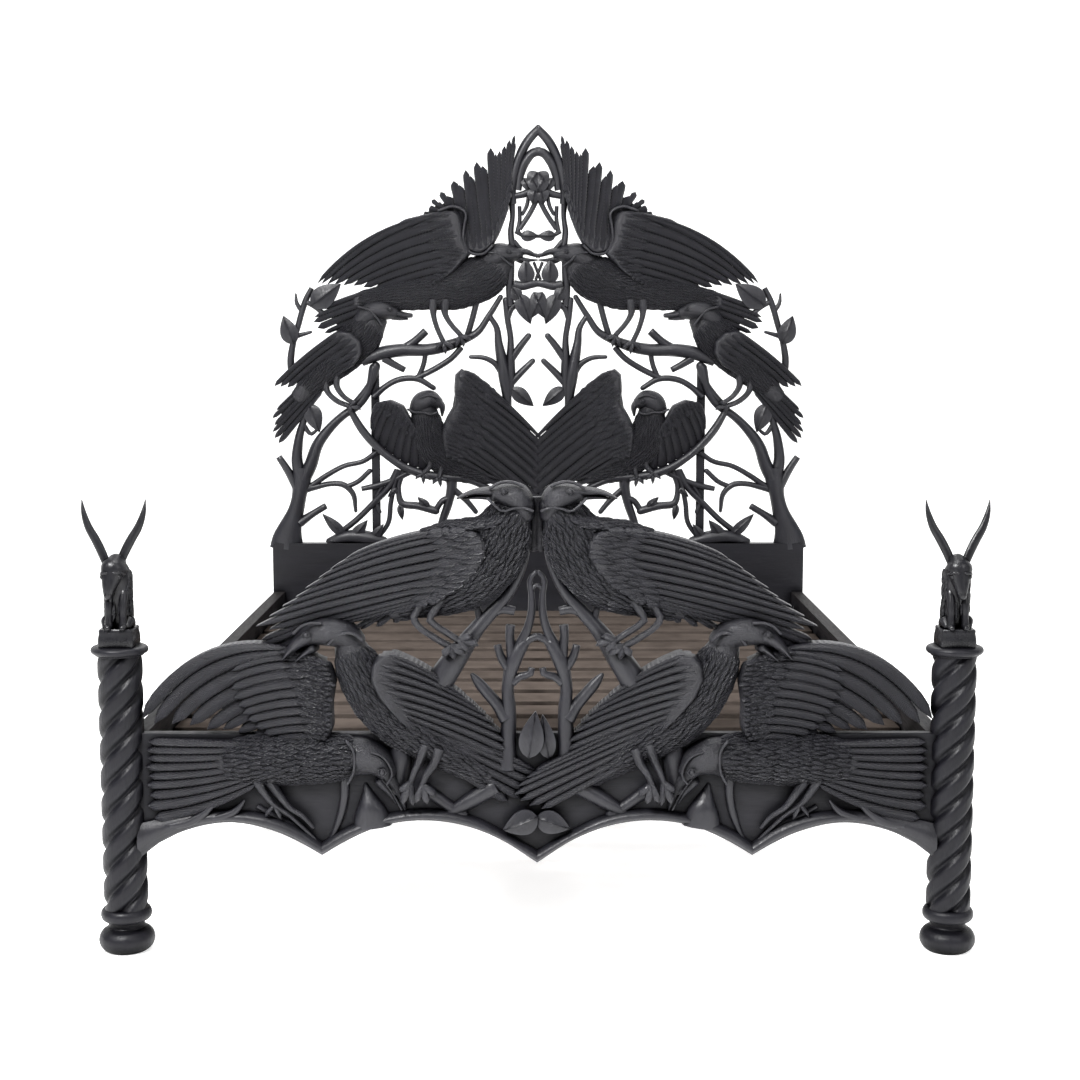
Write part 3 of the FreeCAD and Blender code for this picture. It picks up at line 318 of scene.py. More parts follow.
class Carving:
    """Closed forms gathered into one mesh, with the run of the grain along each form."""

    def __init__(self):
        self.points = []
        self.faces = []
        self.grain = []
        self.forms = 0

    def loft(self, rings, runs=None, sides=None):
        """A closed skin through rings that have the same number of corners."""
        base = len(self.points)
        corners = len(rings[0])
        self.forms += 1
        tag = (self.forms * GRAIN_TAG_STEP) % 1.0
        for k, ring in enumerate(rings):
            for i, p in enumerate(ring):
                self.points.append(tuple(p))
                self.grain.append((sides[k][i], runs[k], tag) if runs else (0.0, 0.0, 0.0))
        last = base + (len(rings) - 1) * corners
        for a in range(base, last, corners):
            for i in range(corners):
                j = (i + 1) % corners
                self.faces.append((a + i, a + j, a + corners + j, a + corners + i))
        self.faces.append(tuple(base + i for i in range(corners - 1, -1, -1)))
        self.faces.append(tuple(last + i for i in range(corners)))

    def bar(self, centres, radii, depth=None, sides=12, start="flat", end="round", bark=LIMB_BARK):
        """A bar along centres, flattened to a depth towards the viewer."""
        rings = []
        count = len(centres)
        phase = self.forms * BARK_PHASE
        travelled = 0.0
        for k in range(count):
            run = (centres[min(k + 1, count - 1)] - centres[max(k - 1, 0)]).normalized()
            across = run.cross(TOWARDS_BACK)
            if across.length < 0.2:
                across = run.cross(Vector((0, 0, 1)))
            across.normalize()
            deep = across.cross(run)
            if k:
                travelled += (centres[k] - centres[k - 1]).length
            for offset, width in end_stations(k, count, start, end):
                middle = centres[k] + run * (radii[k] * offset)
                ring = []
                for a in round_turns(sides):
                    swell = 1 + bark * sum(height * math.sin(ridges * a + twist * travelled + lag * phase)
                                           for ridges, twist, height, lag in BARK_WAVES)
                    r = radii[k] * width * swell
                    flat = min(r, depth) if depth else r
                    ring.append(middle + across * (r * math.cos(a)) + deep * (flat * math.sin(a)))
                rings.append(ring)
        self.loft(rings)

    def limb(self, plane, path, depth=0.03, sides=12, start="flat", end="round", bark=LIMB_BARK):
        """A branch through (column, row, width, out in mm) stations of the pattern."""
        full = [tuple(p) + (0.0,) * (4 - len(p)) for p in path]
        reach = sum(math.dist(a[:2], b[:2]) for a, b in zip(full, full[1:])) * plane.scale
        rows = spline(full, max(4, int(reach / LIMB_STEP) + 2))
        centres = [plane.at(r[0], r[1], r[3] * MM) for r in rows]
        radii = [max(r[2], 0.4) * plane.scale / 2 for r in rows]
        self.bar(centres, radii, depth, sides, start, end, bark)

    def bead(self, plane, path, width, out):
        """A thin raised line along (column, row) points, at a height in mm."""
        self.limb(plane, [(px, py, width, out) for px, py in path], None, 8, "round", "round", 0.0)

    def ball(self, centre, radius, squash=1.0):
        rings = []
        for k in range(1, 8):
            a = math.pi * k / 8
            rings.append([centre + Vector((radius * math.sin(a) * math.cos(b),
                                           radius * squash * math.sin(a) * math.sin(b),
                                           radius * math.cos(a))) for b in round_turns(12)])
        self.loft(rings)

    def lock(self, spots, normals, half, height):
        """A small pointed lock of feathers that lies along surface points."""
        rings, runs, sides = [], [], []
        travelled = 0.0
        for k, spot in enumerate(spots):
            run = spots[min(k + 1, len(spots) - 1)] - spots[max(k - 1, 0)]
            across = run.cross(normals[k]).normalized()
            width = half * LOCK_WIDTH_SHARES[k]
            lift = height * LOCK_LIFT_SHARES[k]
            if k:
                travelled += (spot - spots[k - 1]).length
            rings.append([spot + across * (x * width) + normals[k] * (z * (height if z < 0 else lift))
                          for x, z in LOCK_SECTION_SHARES])
            runs.append(travelled)
            sides.append([x * width for x, z in LOCK_SECTION_SHARES])
        self.loft(rings, runs, sides)

    def leaf(self, plane, stem, tip, width_px, out, thick):
        """An ovate leaf with a midrib and side veins, from its stem to its tip."""
        a = plane.at(*stem, out)
        b = plane.at(*tip, out)
        run = b - a
        across = Vector((-run.z, 0, run.x)).normalized()
        half = width_px * plane.scale / 2
        rings = []
        early, full = LEAF_OUTLINE_POWERS
        back_width, back_depth = LEAF_BACK_SHARES
        for k in range(LEAF_STATIONS):
            t = k / (LEAF_STATIONS - 1)
            wide = max(math.sin(math.pi * t ** early) ** full, LEAF_LEAST_SHARE) * half
            middle = a + run * t - TOWARDS_BACK * (LEAF_BOW * math.sin(math.pi * t))
            ring = []
            for s in LEAF_SECTION_SHARES:
                vein = LEAF_VEIN * math.cos(2 * math.pi * LEAF_VEINS * (t + LEAF_VEIN_SLANT * abs(s)))
                lift = thick / 2 + LEAF_FOLD_SHARE * wide * (1 - abs(s)) * 0.5 + vein * (1 - abs(s))
                lift += LEAF_MIDRIB if s == 0.0 else 0.0
                ring.append(middle + across * (wide * s) - TOWARDS_BACK * lift)
            for s in (1.0, -1.0):
                ring.append(middle + across * (wide * s * back_width) + TOWARDS_BACK * thick * back_depth)
            rings.append(ring)
        self.loft(rings)

    def piece(self, name, nodes, finish, slot, mirrored=False, sharp=50.0):
        """One object of the carving, which stands for CAD nodes."""
        mesh = bpy.data.meshes.new(name)
        sign = -1.0 if mirrored else 1.0
        mesh.from_pydata([(sign * x, y, z) for x, y, z in self.points], [], self.faces)
        rework(mesh, lambda shape: bmesh.ops.recalc_face_normals(shape, faces=shape.faces))
        run = mesh.attributes.new("grain_run", "FLOAT_VECTOR", "POINT")
        run.data.foreach_set("vector", np.array(self.grain, np.float32).ravel())
        smooth(mesh, sharp)
        return show(bpy.data.objects.new(name, mesh), nodes, finish)


def rework(mesh, work):
    """Runs work on the mesh opened as a bmesh, and writes it back."""
    shape = bmesh.new()
    shape.from_mesh(mesh)
    work(shape)
    shape.to_mesh(mesh)
    shape.free()


def smooth(mesh, sharp):
    """Shades a mesh smooth, but for edges sharper than an angle in degrees."""
    mesh.polygons.foreach_set("use_smooth", [True] * len(mesh.polygons))
    mesh.set_sharp_from_angle(angle=math.radians(sharp))


def show(piece, nodes, finish):
    """Puts a piece into the scene in its finish and hides the CAD nodes that it stands for."""
    bpy.context.scene.collection.objects.link(piece)
    piece.data.materials.clear()
    piece.data.materials.append(finish_material(finish))
    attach(piece, BODY)
    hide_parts(*nodes)
    return piece


# Parts of a bird

class Trunk:
    """A domed body on the pattern, whose front can be sampled to lay feathers on it."""

    def __init__(self, plane, path, stations):
        self.plane = plane
        self.rows = spline(path, stations)
        self.centres = [plane.at(r[0], r[1]) for r in self.rows]
        self.reach = sum((b - a).length for a, b in zip(self.centres, self.centres[1:]))

    def station(self, t):
        x = min(max(t, 0.0), 1.0) * (len(self.rows) - 1)
        k = min(int(x), len(self.rows) - 2)
        f = x - k
        row = self.rows[k] * (1 - f) + self.rows[k + 1] * f
        centre = self.centres[k].lerp(self.centres[k + 1], f)
        low, high = max(k - 1, 0), min(k + 2, len(self.rows) - 1)
        run = (self.centres[high] - self.centres[low]).normalized()
        across = Vector((-run.z, 0, run.x))
        return centre, run, across, max(row[2], 0.5) * self.plane.scale, max(row[3], 0.1) * self.plane.front

    def spot(self, t, turn):
        """A point of the front and its normal, at a turn from 0 to pi across the body."""
        centre, _, across, half, depth = self.station(t)
        c, s = math.cos(turn), math.sin(turn)
        point = centre + across * (half * c) - TOWARDS_BACK * (depth * s)
        normal = (across * (c * depth) - TOWARDS_BACK * (s * half)).normalized()
        return point, normal

    def carve(self, carving, sides=20):
        rings = []
        count = len(self.rows)
        back = self.plane.back_at(TRUNK_BACK, carving.forms)
        for k in range(count):
            centre, run, across, half, depth = self.station(k / (count - 1))
            for offset, width in end_stations(k, count):
                middle = centre + run * (half * offset * TRUNK_END_SHARE)
                ring = []
                for a in round_turns(sides):
                    s = math.sin(a)
                    out = depth * s if s > 0 else -back * (1 - (1 + s) ** 3)
                    ring.append(middle + across * (half * width * math.cos(a)) - TOWARDS_BACK * (out * width))
                rings.append(ring)
        carving.loft(rings)

    def feather(self, carving, dice, lock, area):
        """Overlapping locks over an area of the front: its ends along the body, then across it."""
        length, half, height = lock
        t0, t1, turn0, turn1 = area
        rows = max(3, int(self.reach * (t1 - t0) / (length * LOCK_ROW_SHARE)))
        for row in range(rows):
            t = t0 + (t1 - t0) * (row + LOCK_SHIFT_SHARE * dice.random()) / rows
            wide, depth = self.station(t)[3:]
            girth = (turn1 - turn0) * math.pi * (wide + depth) / 2
            count = max(2, int(girth / (half * LOCK_SPACE_SHARE)))
            for i in range(count):
                share = (i + 0.5 * (row % 2) + LOCK_SHIFT_SHARE * dice.random()) / count
                turn = math.pi * (turn0 + (turn1 - turn0) * share)
                size = LOCK_LEAST_SIZE + LOCK_SIZE_RANGE * dice.random()
                drift = (dice.random() - 0.5) * LOCK_DRIFT
                places = [self.spot(t + f * size * length / self.reach, turn + drift * f) for f in LOCK_STEPS]
                spots, normals = zip(*places)
                if (spots[-1] - spots[0]).length > length * LOCK_LEAST_SHARE:
                    carving.lock(spots, normals, half * size, height * size)


class Fan:
    """A fan of long feathers from a root line to their tips."""

    def __init__(self, plane, drawing):
        self.plane = plane
        self.drawing = dict(FAN_DEFAULTS, **drawing)
        self.tips = [np.array(tip, float) for tip in drawing["tips"]]
        self.heights = [self.drawing[key] * MM for key in ("rise", "tip", "crown")]

    def flat_spot(self, u, share):
        """The pattern place at a share of the feathers' length and a share across the fan."""
        start = along(self.drawing["root"], share)
        place = min(max(share * len(self.tips) - 0.5, 0.0), len(self.tips) - 1.0)
        k = min(int(place), len(self.tips) - 2)
        end = self.tips[k] + (self.tips[k + 1] - self.tips[k]) * (place - k)
        run = end - start
        first, last = self.drawing["bows"]
        bow = first + (last - first) * share
        return start + run * u + np.array((-run[1], run[0])) * (4 * u * (1 - u) * bow)

    def height(self, u, share):
        rise, tip, crown = self.heights
        return rise + (tip - rise) * u + crown * math.sin(math.pi * share) * (1 - u)

    def spot(self, u, share):
        return self.plane.at(*self.flat_spot(u, share), self.height(u, share))

    def feathers(self, carving):
        """The long feathers: crowned vanes on each side of a shaft, on a flat back."""
        fill, taper, rib = (self.drawing[key] for key in ("fill", "taper", "rib"))
        count = len(self.tips)
        last = FEATHER_STATIONS - 1
        shift = FAN_SHIFT * (carving.forms % 4)
        lines = [[self.flat_spot(k / last, (i + 0.5) / count) for k in range(FEATHER_STATIONS)]
                 for i in range(count)]
        for i, line in enumerate(lines):
            rings, runs, sides = [], [], []
            travelled = 0.0
            back = self.plane.back_at(FEATHER_BACK, i) - shift
            neighbours = [lines[j] for j in (i - 1, i + 1) if 0 <= j < count]
            for k, place in enumerate(line):
                u = k / last
                ahead = line[min(k + 1, last)] - line[max(k - 1, 0)]
                ahead /= max(np.linalg.norm(ahead), 1e-6)
                gaps = []
                for other in neighbours:
                    off = other[k] - place
                    gaps.append(abs(ahead[0] * off[1] - ahead[1] * off[0]))
                half = 0.5 * fill * self.plane.scale * (sum(gaps) / len(gaps))
                half = min(max(half, FEATHER_HALF_RANGE[0]), FEATHER_HALF_RANGE[1])
                half *= rounded(u / ROOT_ROUNDING_SHARE, LEAST_SHARE)
                if u > taper:
                    blunt, full = FEATHER_TIP_POWERS
                    half *= max(1 - ((u - taper) / (1 - taper)) ** blunt, LEAST_SHARE) ** full
                high = self.height(u, (i + 0.5) / count)
                middle = self.plane.at(*place)
                across = Vector((ahead[1], 0, ahead[0])).normalized()
                crown = min(rib, half * FEATHER_CROWN_SHARE)
                ring = []
                for s in FEATHER_SECTION_SHARES:
                    lift = high + crown * (1 - s ** 4) + FEATHER_TILT * s * half * FEATHER_TILT_SHARE
                    if s == 0.0:
                        lift += FEATHER_SHAFT_SHARE * crown
                    ring.append(middle + across * (s * half) - TOWARDS_BACK * lift)
                for s in (1.0, -1.0):
                    ring.append(middle + across * (s * half * FEATHER_BACK_WIDTH_SHARE) + TOWARDS_BACK * back)
                if k:
                    travelled += float(np.linalg.norm(place - line[k - 1])) * self.plane.scale
                rings.append(ring)
                runs.append(travelled)
                sides.append([s * half for s in (*FEATHER_SECTION_SHARES, 1.0, -1.0)])
            carving.loft(rings, runs, sides)

    def skin(self, carving, start, stop, over, under, inset=0.0):
        """A smooth domed skin over part of the fan, from one height over the feathers' bed to another."""
        back = self.plane.back_at(SKIN_BACK, carving.forms)
        shares = [inset + (1 - 2 * inset) * i / SKIN_ACROSS for i in range(SKIN_ACROSS + 1)]
        rings = []
        for k in range(SKIN_STEPS + 1):
            f = k / SKIN_STEPS
            u = start + (stop - start) * f
            lift = over + (under - over) * f ** SKIN_FALL_POWER
            end = rounded(f / SKIN_END_SHARE)
            ring = []
            for i, share in enumerate(shares):
                side = rounded(min(i, SKIN_ACROSS - i) / (SKIN_SIDE_SHARE * SKIN_ACROSS))
                high = self.height(max(u, 0.0), min(max(share, 0.0), 1.0)) + lift
                high *= SKIN_RIM_SHARE + (1 - SKIN_RIM_SHARE) * end * side
                ring.append(self.plane.at(*self.flat_spot(u, share), high))
            for share in (shares[-1], shares[0]):
                ring.append(self.plane.at(*self.flat_spot(u, share)) + TOWARDS_BACK * back)
            rings.append(ring)
        carving.loft(rings)

    def coverts(self, carving, dice, over):
        """Short overlapping feathers in rows: each row is (place, length, count)."""
        height = self.drawing["covert_height"]
        shoulder = max(self.drawing["shoulder"], 0.01)
        for place, length, count in reversed(self.drawing["coverts"]):
            wide = (self.spot(place + length / 2, 1.0) - self.spot(place + length / 2, 0.0)).length
            for i in range(count):
                share = (i + 0.5 + 0.3 * (dice.random() - 0.5)) / count
                start = place + COVERT_SHIFT_SHARE * length * dice.random()
                reach = length * (0.75 + 0.5 * dice.random())
                spots = []
                for f in LOCK_STEPS:
                    u = start + reach * f
                    lift = over * (1 - (max(u, 0.0) / shoulder) ** SKIN_FALL_POWER)
                    lift = max(lift, COVERT_LEAST_SHARE * over) - COVERT_DEPTH_SHARE * height
                    spots.append(self.spot(u, share) - TOWARDS_BACK * lift)
                carving.lock(spots, [-TOWARDS_BACK] * len(spots), wide / count * COVERT_WIDTH_SHARE, height)

    def carve(self, carving, dice):
        """The feathers on their bed, with a skin and covert feathers over the root."""
        rib, shoulder = self.drawing["rib"], self.drawing["shoulder"]
        bed, rise, end = (share * rib for share in (BED_DEPTH_SHARE, SHOULDER_RISE_SHARE, SHOULDER_END_SHARE))
        self.feathers(carving)
        self.skin(carving, *BED_SPAN, bed, bed, BED_INSET)
        if shoulder:
            self.skin(carving, SHOULDER_START, shoulder, rise, end)
        self.coverts(carving, dice, rise)


def eye(carving, plane, column, row, out, size):
    """A ball with a raised lid round it."""
    carving.ball(plane.at(column, row, out * MM), size, 0.8)
    lid = [(column + 1.55 * size / plane.scale * math.cos(a), row + 1.3 * size / plane.scale * math.sin(a))
           for a in [k * math.pi / 6 for k in range(13)]]
    carving.bead(plane, lid, size * 0.55 / plane.scale, out + 0.5)


def claw_foot(carving, plane, ankle, toes, width, out):
    """Toes with knuckles and pointed claws, gripping from an ankle."""
    for toe in toes:
        bend = ((ankle[0] + toe[0]) / 2, (ankle[1] + toe[1]) / 2)
        claw = (toe[0] + (toe[0] - bend[0]) * 0.25, toe[1] + (toe[1] - bend[1]) * 0.3 + 1.5)
        path = ((*ankle, width, out), (*bend, width * 1.15, out + 5), (*toe, width * 0.9, out + 1),
                (*claw, width * 0.2, out - 3))
        carving.limb(plane, path, None, 8, "round", "flat", CLAW_BARK)


def raven(plane, bird, seed):
    """One raven from its drawing: body, wings, head, face lines, eye, throat, legs and feet."""
    carving = Carving()
    dice = random.Random(seed)
    bodies = [(bird["body"], BODY_STATIONS, bird["shaggy"])]
    bodies += [(path, MANTLE_STATIONS, MANTLE_AREA) for path in bird.get("mantles", ())]
    for path, stations, area in bodies:
        body = Trunk(plane, path, stations)
        body.carve(carving)
        body.feather(carving, dice, bird["lock"], area)
    for drawing in bird["fans"]:
        Fan(plane, drawing).carve(carving, dice)
    for path in bird["skull"]:
        Trunk(plane, path, SKULL_STATIONS).carve(carving, SKULL_SIDES)
    for path, width, out in bird["lines"]:
        carving.bead(plane, path, width, out)
    eye(carving, plane, *bird["eye"])
    for path in bird.get("throat", ()) + bird["legs"]:
        carving.limb(plane, path, None, 10, "flat", "round", LEG_BARK)
    for ankle, toes, width, out in bird["feet"]:
        claw_foot(carving, plane, ankle, toes, width, out)
    return carving


# Drawings of the ravens on the pattern. A body station is (column, row, half width, depth share),
# a line is (points, width, height in mm), and legs are branches. Root and tips of a fan are points.

UPPER_FOOT_RAVEN = {
    "lock": (0.032, 0.0057, 0.0052),
    "body": ((530, 503, 8, 0.75), (516, 513, 21, 0.85), (505, 530, 29, 0.95), (491, 553, 34, 1.0),
             (466, 580, 29, 1.0), (426, 598, 18, 0.7), (392, 609, 11, 0.5)),
    "mantles": (((508, 515, 6, 0.85), (490, 522, 7, 0.95), (468, 525.5, 7.5, 0.95), (446, 529, 7, 0.8),
                 (422, 535, 5, 0.6)),),
    "shaggy": (0.07, 0.92, 0.05, 0.95),
    "fans": ({"root": ((333, 610), (345, 622)), "tips": ((262, 640), (257, 648), (272, 652), (290, 650)),
              "rise": 14, "tip": 2, "crown": 2, "shoulder": 0},
             {"root": ((424, 584), (418, 602)),
              "tips": ((344, 636), (361, 629), (377, 626), (394, 622), (410, 617)), "rise": 20, "tip": 4,
              "crown": 2, "bows": (0.0, 0.02), "shoulder": 0},
             {"root": ((456, 529), (469, 528), (480, 532), (487, 542), (487, 554), (479, 570), (464, 584),
                       (438, 598)),
              "tips": ((346, 559), (331, 569), (319, 578), (306, 588), (296, 597), (283, 606), (270, 616),
                       (257, 626), (270, 629), (288, 631), (306, 630), (326, 627), (346, 622)),
              "bows": (0.06, -0.01), "rise": 37, "tip": 5, "crown": 6, "shoulder": 0.28,
              "coverts": ((0.0, 0.1, 12), (0.05, 0.1, 11), (0.1, 0.1, 12), (0.15, 0.11, 11)),
              "covert_height": 0.0045}),
    "skull": (((527, 517, 9, 0.75), (523, 506, 13, 0.98), (517, 498, 15.5, 1.1), (506, 495, 12.5, 1.02),
               (495, 494, 8, 0.85)),
              ((500, 491.5, 6.5, 0.85), (487, 491.2, 4.6, 0.7), (474, 492.2, 3.0, 0.55),
               (463, 495.8, 1.7, 0.4), (457.5, 498.6, 0.8, 0.25)),
              ((499, 497.5, 4.6, 0.7), (486, 496.8, 2.8, 0.5), (474, 497.2, 1.8, 0.4),
               (464, 498.8, 0.8, 0.2))),
    "lines": ((((491, 487), (498, 482.5), (507, 480.5), (516, 481.5), (523, 485)), 3.2, 32),
              (((489, 497), (496, 504), (504, 509.5), (513, 506.8), (523, 505.8), (533, 509)), 3.0, 38)),
    "eye": (504.5, 489.5, 41, 0.0046),
    "throat": (((535, 497, 12, -8), (535, 520, 13, -8), (534, 548, 9, -8)),),
    "legs": (((430, 590, 13, 22), (420, 606, 8, 26), (415, 617, 8, 28), (419, 623, 7, 29),
              (436, 635, 7, 30), (453, 645, 7, 30)),
             ((444, 592, 13, 24), (436, 608, 8, 28), (431, 617, 8, 31), (436, 622, 7, 32),
              (448, 630, 7, 32), (460, 638, 7, 32))),
    "feet": (((452, 644), ((445, 651), (455, 654), (465, 650), (470, 643)), 7.0, 30),
             ((460, 637), ((472, 633), (477, 641), (468, 646)), 6.6, 33)),
}

LOWER_FOOT_RAVEN = {
    "lock": (0.031, 0.0055, 0.005),
    "body": ((346, 634, 11, 0.7), (353, 654, 19, 0.9), (372, 686, 27, 1.0), (404, 722, 27, 0.95),
             (440, 747, 19, 0.75), (488, 775, 12, 0.5)),
    "shaggy": (0.08, 0.95, 0.05, 0.95),
    "fans": ({"root": ((428, 712), (410, 742)),
              "tips": ((527, 764), (535, 769), (540, 776), (537, 784), (531, 791), (522, 797), (508, 800)),
              "rise": 24, "tip": 9, "crown": 5, "taper": 0.92, "shoulder": 0},
             {"root": ((396, 651), (383, 653), (375, 662), (373, 676), (381, 694), (396, 711), (414, 728)),
              "tips": ((460, 694), (469, 700), (478, 707), (486, 714), (494, 722), (501, 731), (508, 741),
                       (510, 750), (501, 755), (486, 757), (468, 755), (452, 750)), "bows": (-0.06, 0.0),
              "rise": 38, "tip": 13, "crown": 6, "shoulder": 0.22}),
    "skull": (((354, 644, 14, 0.75), (345, 634, 15, 1.0), (330, 630.5, 15.5, 1.15),
               (316, 632.5, 13.5, 1.1), (305, 639, 10, 0.9)),
              ((313, 633, 9.5, 1.15), (302, 639.5, 7.8, 1.2), (293, 647.5, 5.4, 1.15),
               (285, 656.5, 1.2, 1.0)),
              ((315, 645, 6.5, 1.0), (306, 651.5, 4.4, 1.0), (298, 658.5, 1.3, 0.9))),
    "lines": ((((331, 641), (338, 634), (347, 630), (357, 631), (364, 637)), 3.6, 38),
              (((297, 630), (303, 624), (312, 620), (323, 620)), 3.0, 42)),
    "eye": (309, 631, 46, 0.0052),
    "legs": (((426, 742, 14, 24), (421, 758, 9, 30), (416, 768, 7, 34), (412, 779, 6, 36)),
             ((440, 746, 14, 24), (434, 762, 9, 30), (428, 770, 7, 34), (424, 780, 6, 36))),
    "feet": (((412, 779), ((403, 786), (405, 796), (414, 797)), 7.4, 34),
             ((424, 781), ((418, 795), (428, 796), (435, 789)), 7.4, 34)),
}

# The right bird's tail, which lies over the left bird's, on the mirrored pattern
CROSSING_TAIL = {
    "root": ((428, 712), (410, 742)),
    "tips": ((538, 768), (549, 776), (557, 784), (560, 792), (554, 798), (545, 803), (533, 806)),
    "rise": 24, "tip": 20, "crown": 6, "taper": 0.92, "shoulder": 0,
}

FLYING_FOOT_RAVEN = {
    "lock": (0.031, 0.0055, 0.005),
    "body": ((366, 757, 17, 0.9), (345, 756, 23, 1.0), (305, 757, 26, 1.0), (262, 759, 26, 0.95),
             (226, 763, 22, 0.62)),
    "shaggy": (0.07, 0.97, 0.03, 0.97),
    "fans": ({"root": ((258, 740), (258, 784)),
              "tips": ((150, 741), (148, 749), (149, 757), (147, 766), (150, 775), (148, 784), (151, 794),
                       (149, 805), (156, 817)), "rise": 21, "tip": 10, "crown": 4, "bows": (0.0, -0.05),
              "taper": 0.9, "shoulder": 0},
             {"root": ((312, 652), (328, 660), (334, 676), (332, 700), (334, 722), (328, 740)),
              "tips": ((143, 718), (155, 723), (173, 723.5), (191, 724.5), (208, 729), (224, 729),
                       (239, 731.5), (255, 735), (276, 741)), "bows": (0.2, 0.03), "tip": 5, "crown": 5,
              "rib": 0.0065, "taper": 0.88},
             {"root": ((312, 654), (328, 661), (334, 678), (331, 700), (333, 720), (326, 738)),
              "tips": ((240, 661), (234, 669), (232, 678), (233, 687), (236, 696), (240, 704), (245, 711),
                       (250, 718), (257, 725), (266, 731), (278, 737)), "bows": (0.1, 0.03), "rise": 27,
              "tip": 20, "crown": 5, "rib": 0.0042, "taper": 0.9,
              "coverts": ((-0.04, 0.13, 19), (0.02, 0.14, 18), (0.08, 0.14, 18), (0.15, 0.15, 17),
                          (0.22, 0.16, 16)), "covert_height": 0.006, "shoulder": 0.34}),
    "skull": (((346, 756, 20, 0.9), (364, 755.5, 19.5, 1.1), (380, 761, 16, 1.1), (391, 772, 10.5, 0.9)),
              ((386, 770, 10, 0.9), (397, 783, 7.4, 0.72), (403, 797, 4.2, 0.55), (406, 809, 1.2, 0.3)),
              ((381, 779, 7, 0.65), (390, 790, 4.6, 0.5), (397, 802, 1.4, 0.3))),
    "lines": ((((349, 737), (355, 745), (357, 757), (355, 770), (350, 779)), 3.2, 40),
              (((374, 748), (384, 752), (391, 760), (394, 771), (389, 779)), 2.4, 40),
              (((384, 776), (392, 786), (399, 798), (403, 806)), 1.5, 30)),
    "eye": (384.5, 767, 46, 0.0056),
    "legs": (((256, 774, 12, 14), (266, 790, 8, 20), (276, 802, 6, 20), (290, 812, 5, 18),
              (302, 824, 4, 12), (316, 838, 3, 8)),
             ((272, 780, 12, 14), (282, 794, 8, 20), (292, 806, 6, 20), (304, 814, 5, 16),
              (314, 826, 3, 10))),
    "feet": (((276, 802), ((268, 812), (282, 814)), 3.6, 18),),
}

TOP_RAVEN = {
    "lock": (0.03, 0.0042, 0.0036),
    "body": ((508, 260, 8, 0.7), (494, 272, 18, 1.0), (462, 284, 23, 1.0), (424, 291, 18, 0.9),
             (390, 297, 13, 0.7), (358, 303, 10, 0.5)),
    "shaggy": (0.06, 0.95, 0.03, 0.97),
    "fans": ({"root": ((402, 284), (396, 310)),
              "tips": ((322, 309), (315, 317), (314, 322), (318, 328), (325, 333), (334, 331)), "rise": 14,
              "tip": 4, "crown": 3, "bows": (0.04, 0.0), "taper": 0.92, "shoulder": 0},
             {"root": ((440, 214), (452, 216), (460, 226), (462, 240), (470, 252), (482, 254), (492, 246),
                       (500, 232), (507, 214), (512, 190)),
              "tips": ((424, 214), (429, 209), (432, 200), (437, 203), (441, 192), (447, 196), (454, 181),
                       (460, 185), (466, 170), (471, 176), (477, 162), (483, 166), (491, 148), (496, 154),
                       (500, 151), (505, 146), (510, 140), (515, 135), (516, 143), (514, 156)),
              "bows": (0.03, -0.03), "rise": 20, "tip": 6, "crown": 4, "rib": 0.0045, "fill": 1.2,
              "taper": 0.9, "coverts": ((0.0, 0.14, 20), (0.09, 0.13, 19)), "covert_height": 0.0045},
             {"root": ((440, 214), (456, 212), (461, 224), (462, 240), (470, 253), (454, 272), (430, 286)),
              "tips": ((318, 283), (322, 283.6), (328, 284), (335, 284.4), (344, 285), (354, 285.5),
                       (364, 287), (375, 290), (387, 293.5), (400, 297), (414, 299)), "bows": (0.1, 0.0),
              "rise": 28, "tip": 4, "crown": 7, "taper": 0.95,
              "coverts": ((0.01, 0.11, 21), (0.06, 0.11, 20), (0.11, 0.11, 19), (0.16, 0.11, 18)),
              "covert_height": 0.0052}),
    "skull": (((488, 263, 11, 0.85), (498, 255.5, 12, 1.1), (510, 254, 9.5, 1.0), (521, 254, 5, 0.7)),
              ((517, 251.5, 4.2, 0.7), (528, 252, 2.8, 0.5), (539, 257, 0.8, 0.2)),
              ((516, 258, 3, 0.5), (528, 260, 1.9, 0.35), (538, 260, 0.7, 0.2))),
    "lines": ((((490, 253), (499, 254), (506, 261), (513, 266)), 2.2, 33),
              (((440, 211), (455, 207), (466, 213), (465, 226), (464, 240), (471, 253), (484, 254),
                (493, 246)), 3.0, 29)),
    "eye": (510, 252, 33, 0.0048),
    "legs": (((434, 300, 12, 12), (434, 314, 6, 16), (438, 328, 5, 18), (444, 342, 5, 18)),
             ((446, 300, 12, 12), (446, 314, 6, 16), (452, 325, 5, 18), (461, 335, 5, 18))),
    "feet": (((444, 342), ((438, 348), (446, 351), (453, 347)), 4.0, 18),
             ((461, 336), ((457, 344), (464, 344), (470, 338)), 4.0, 18)),
}

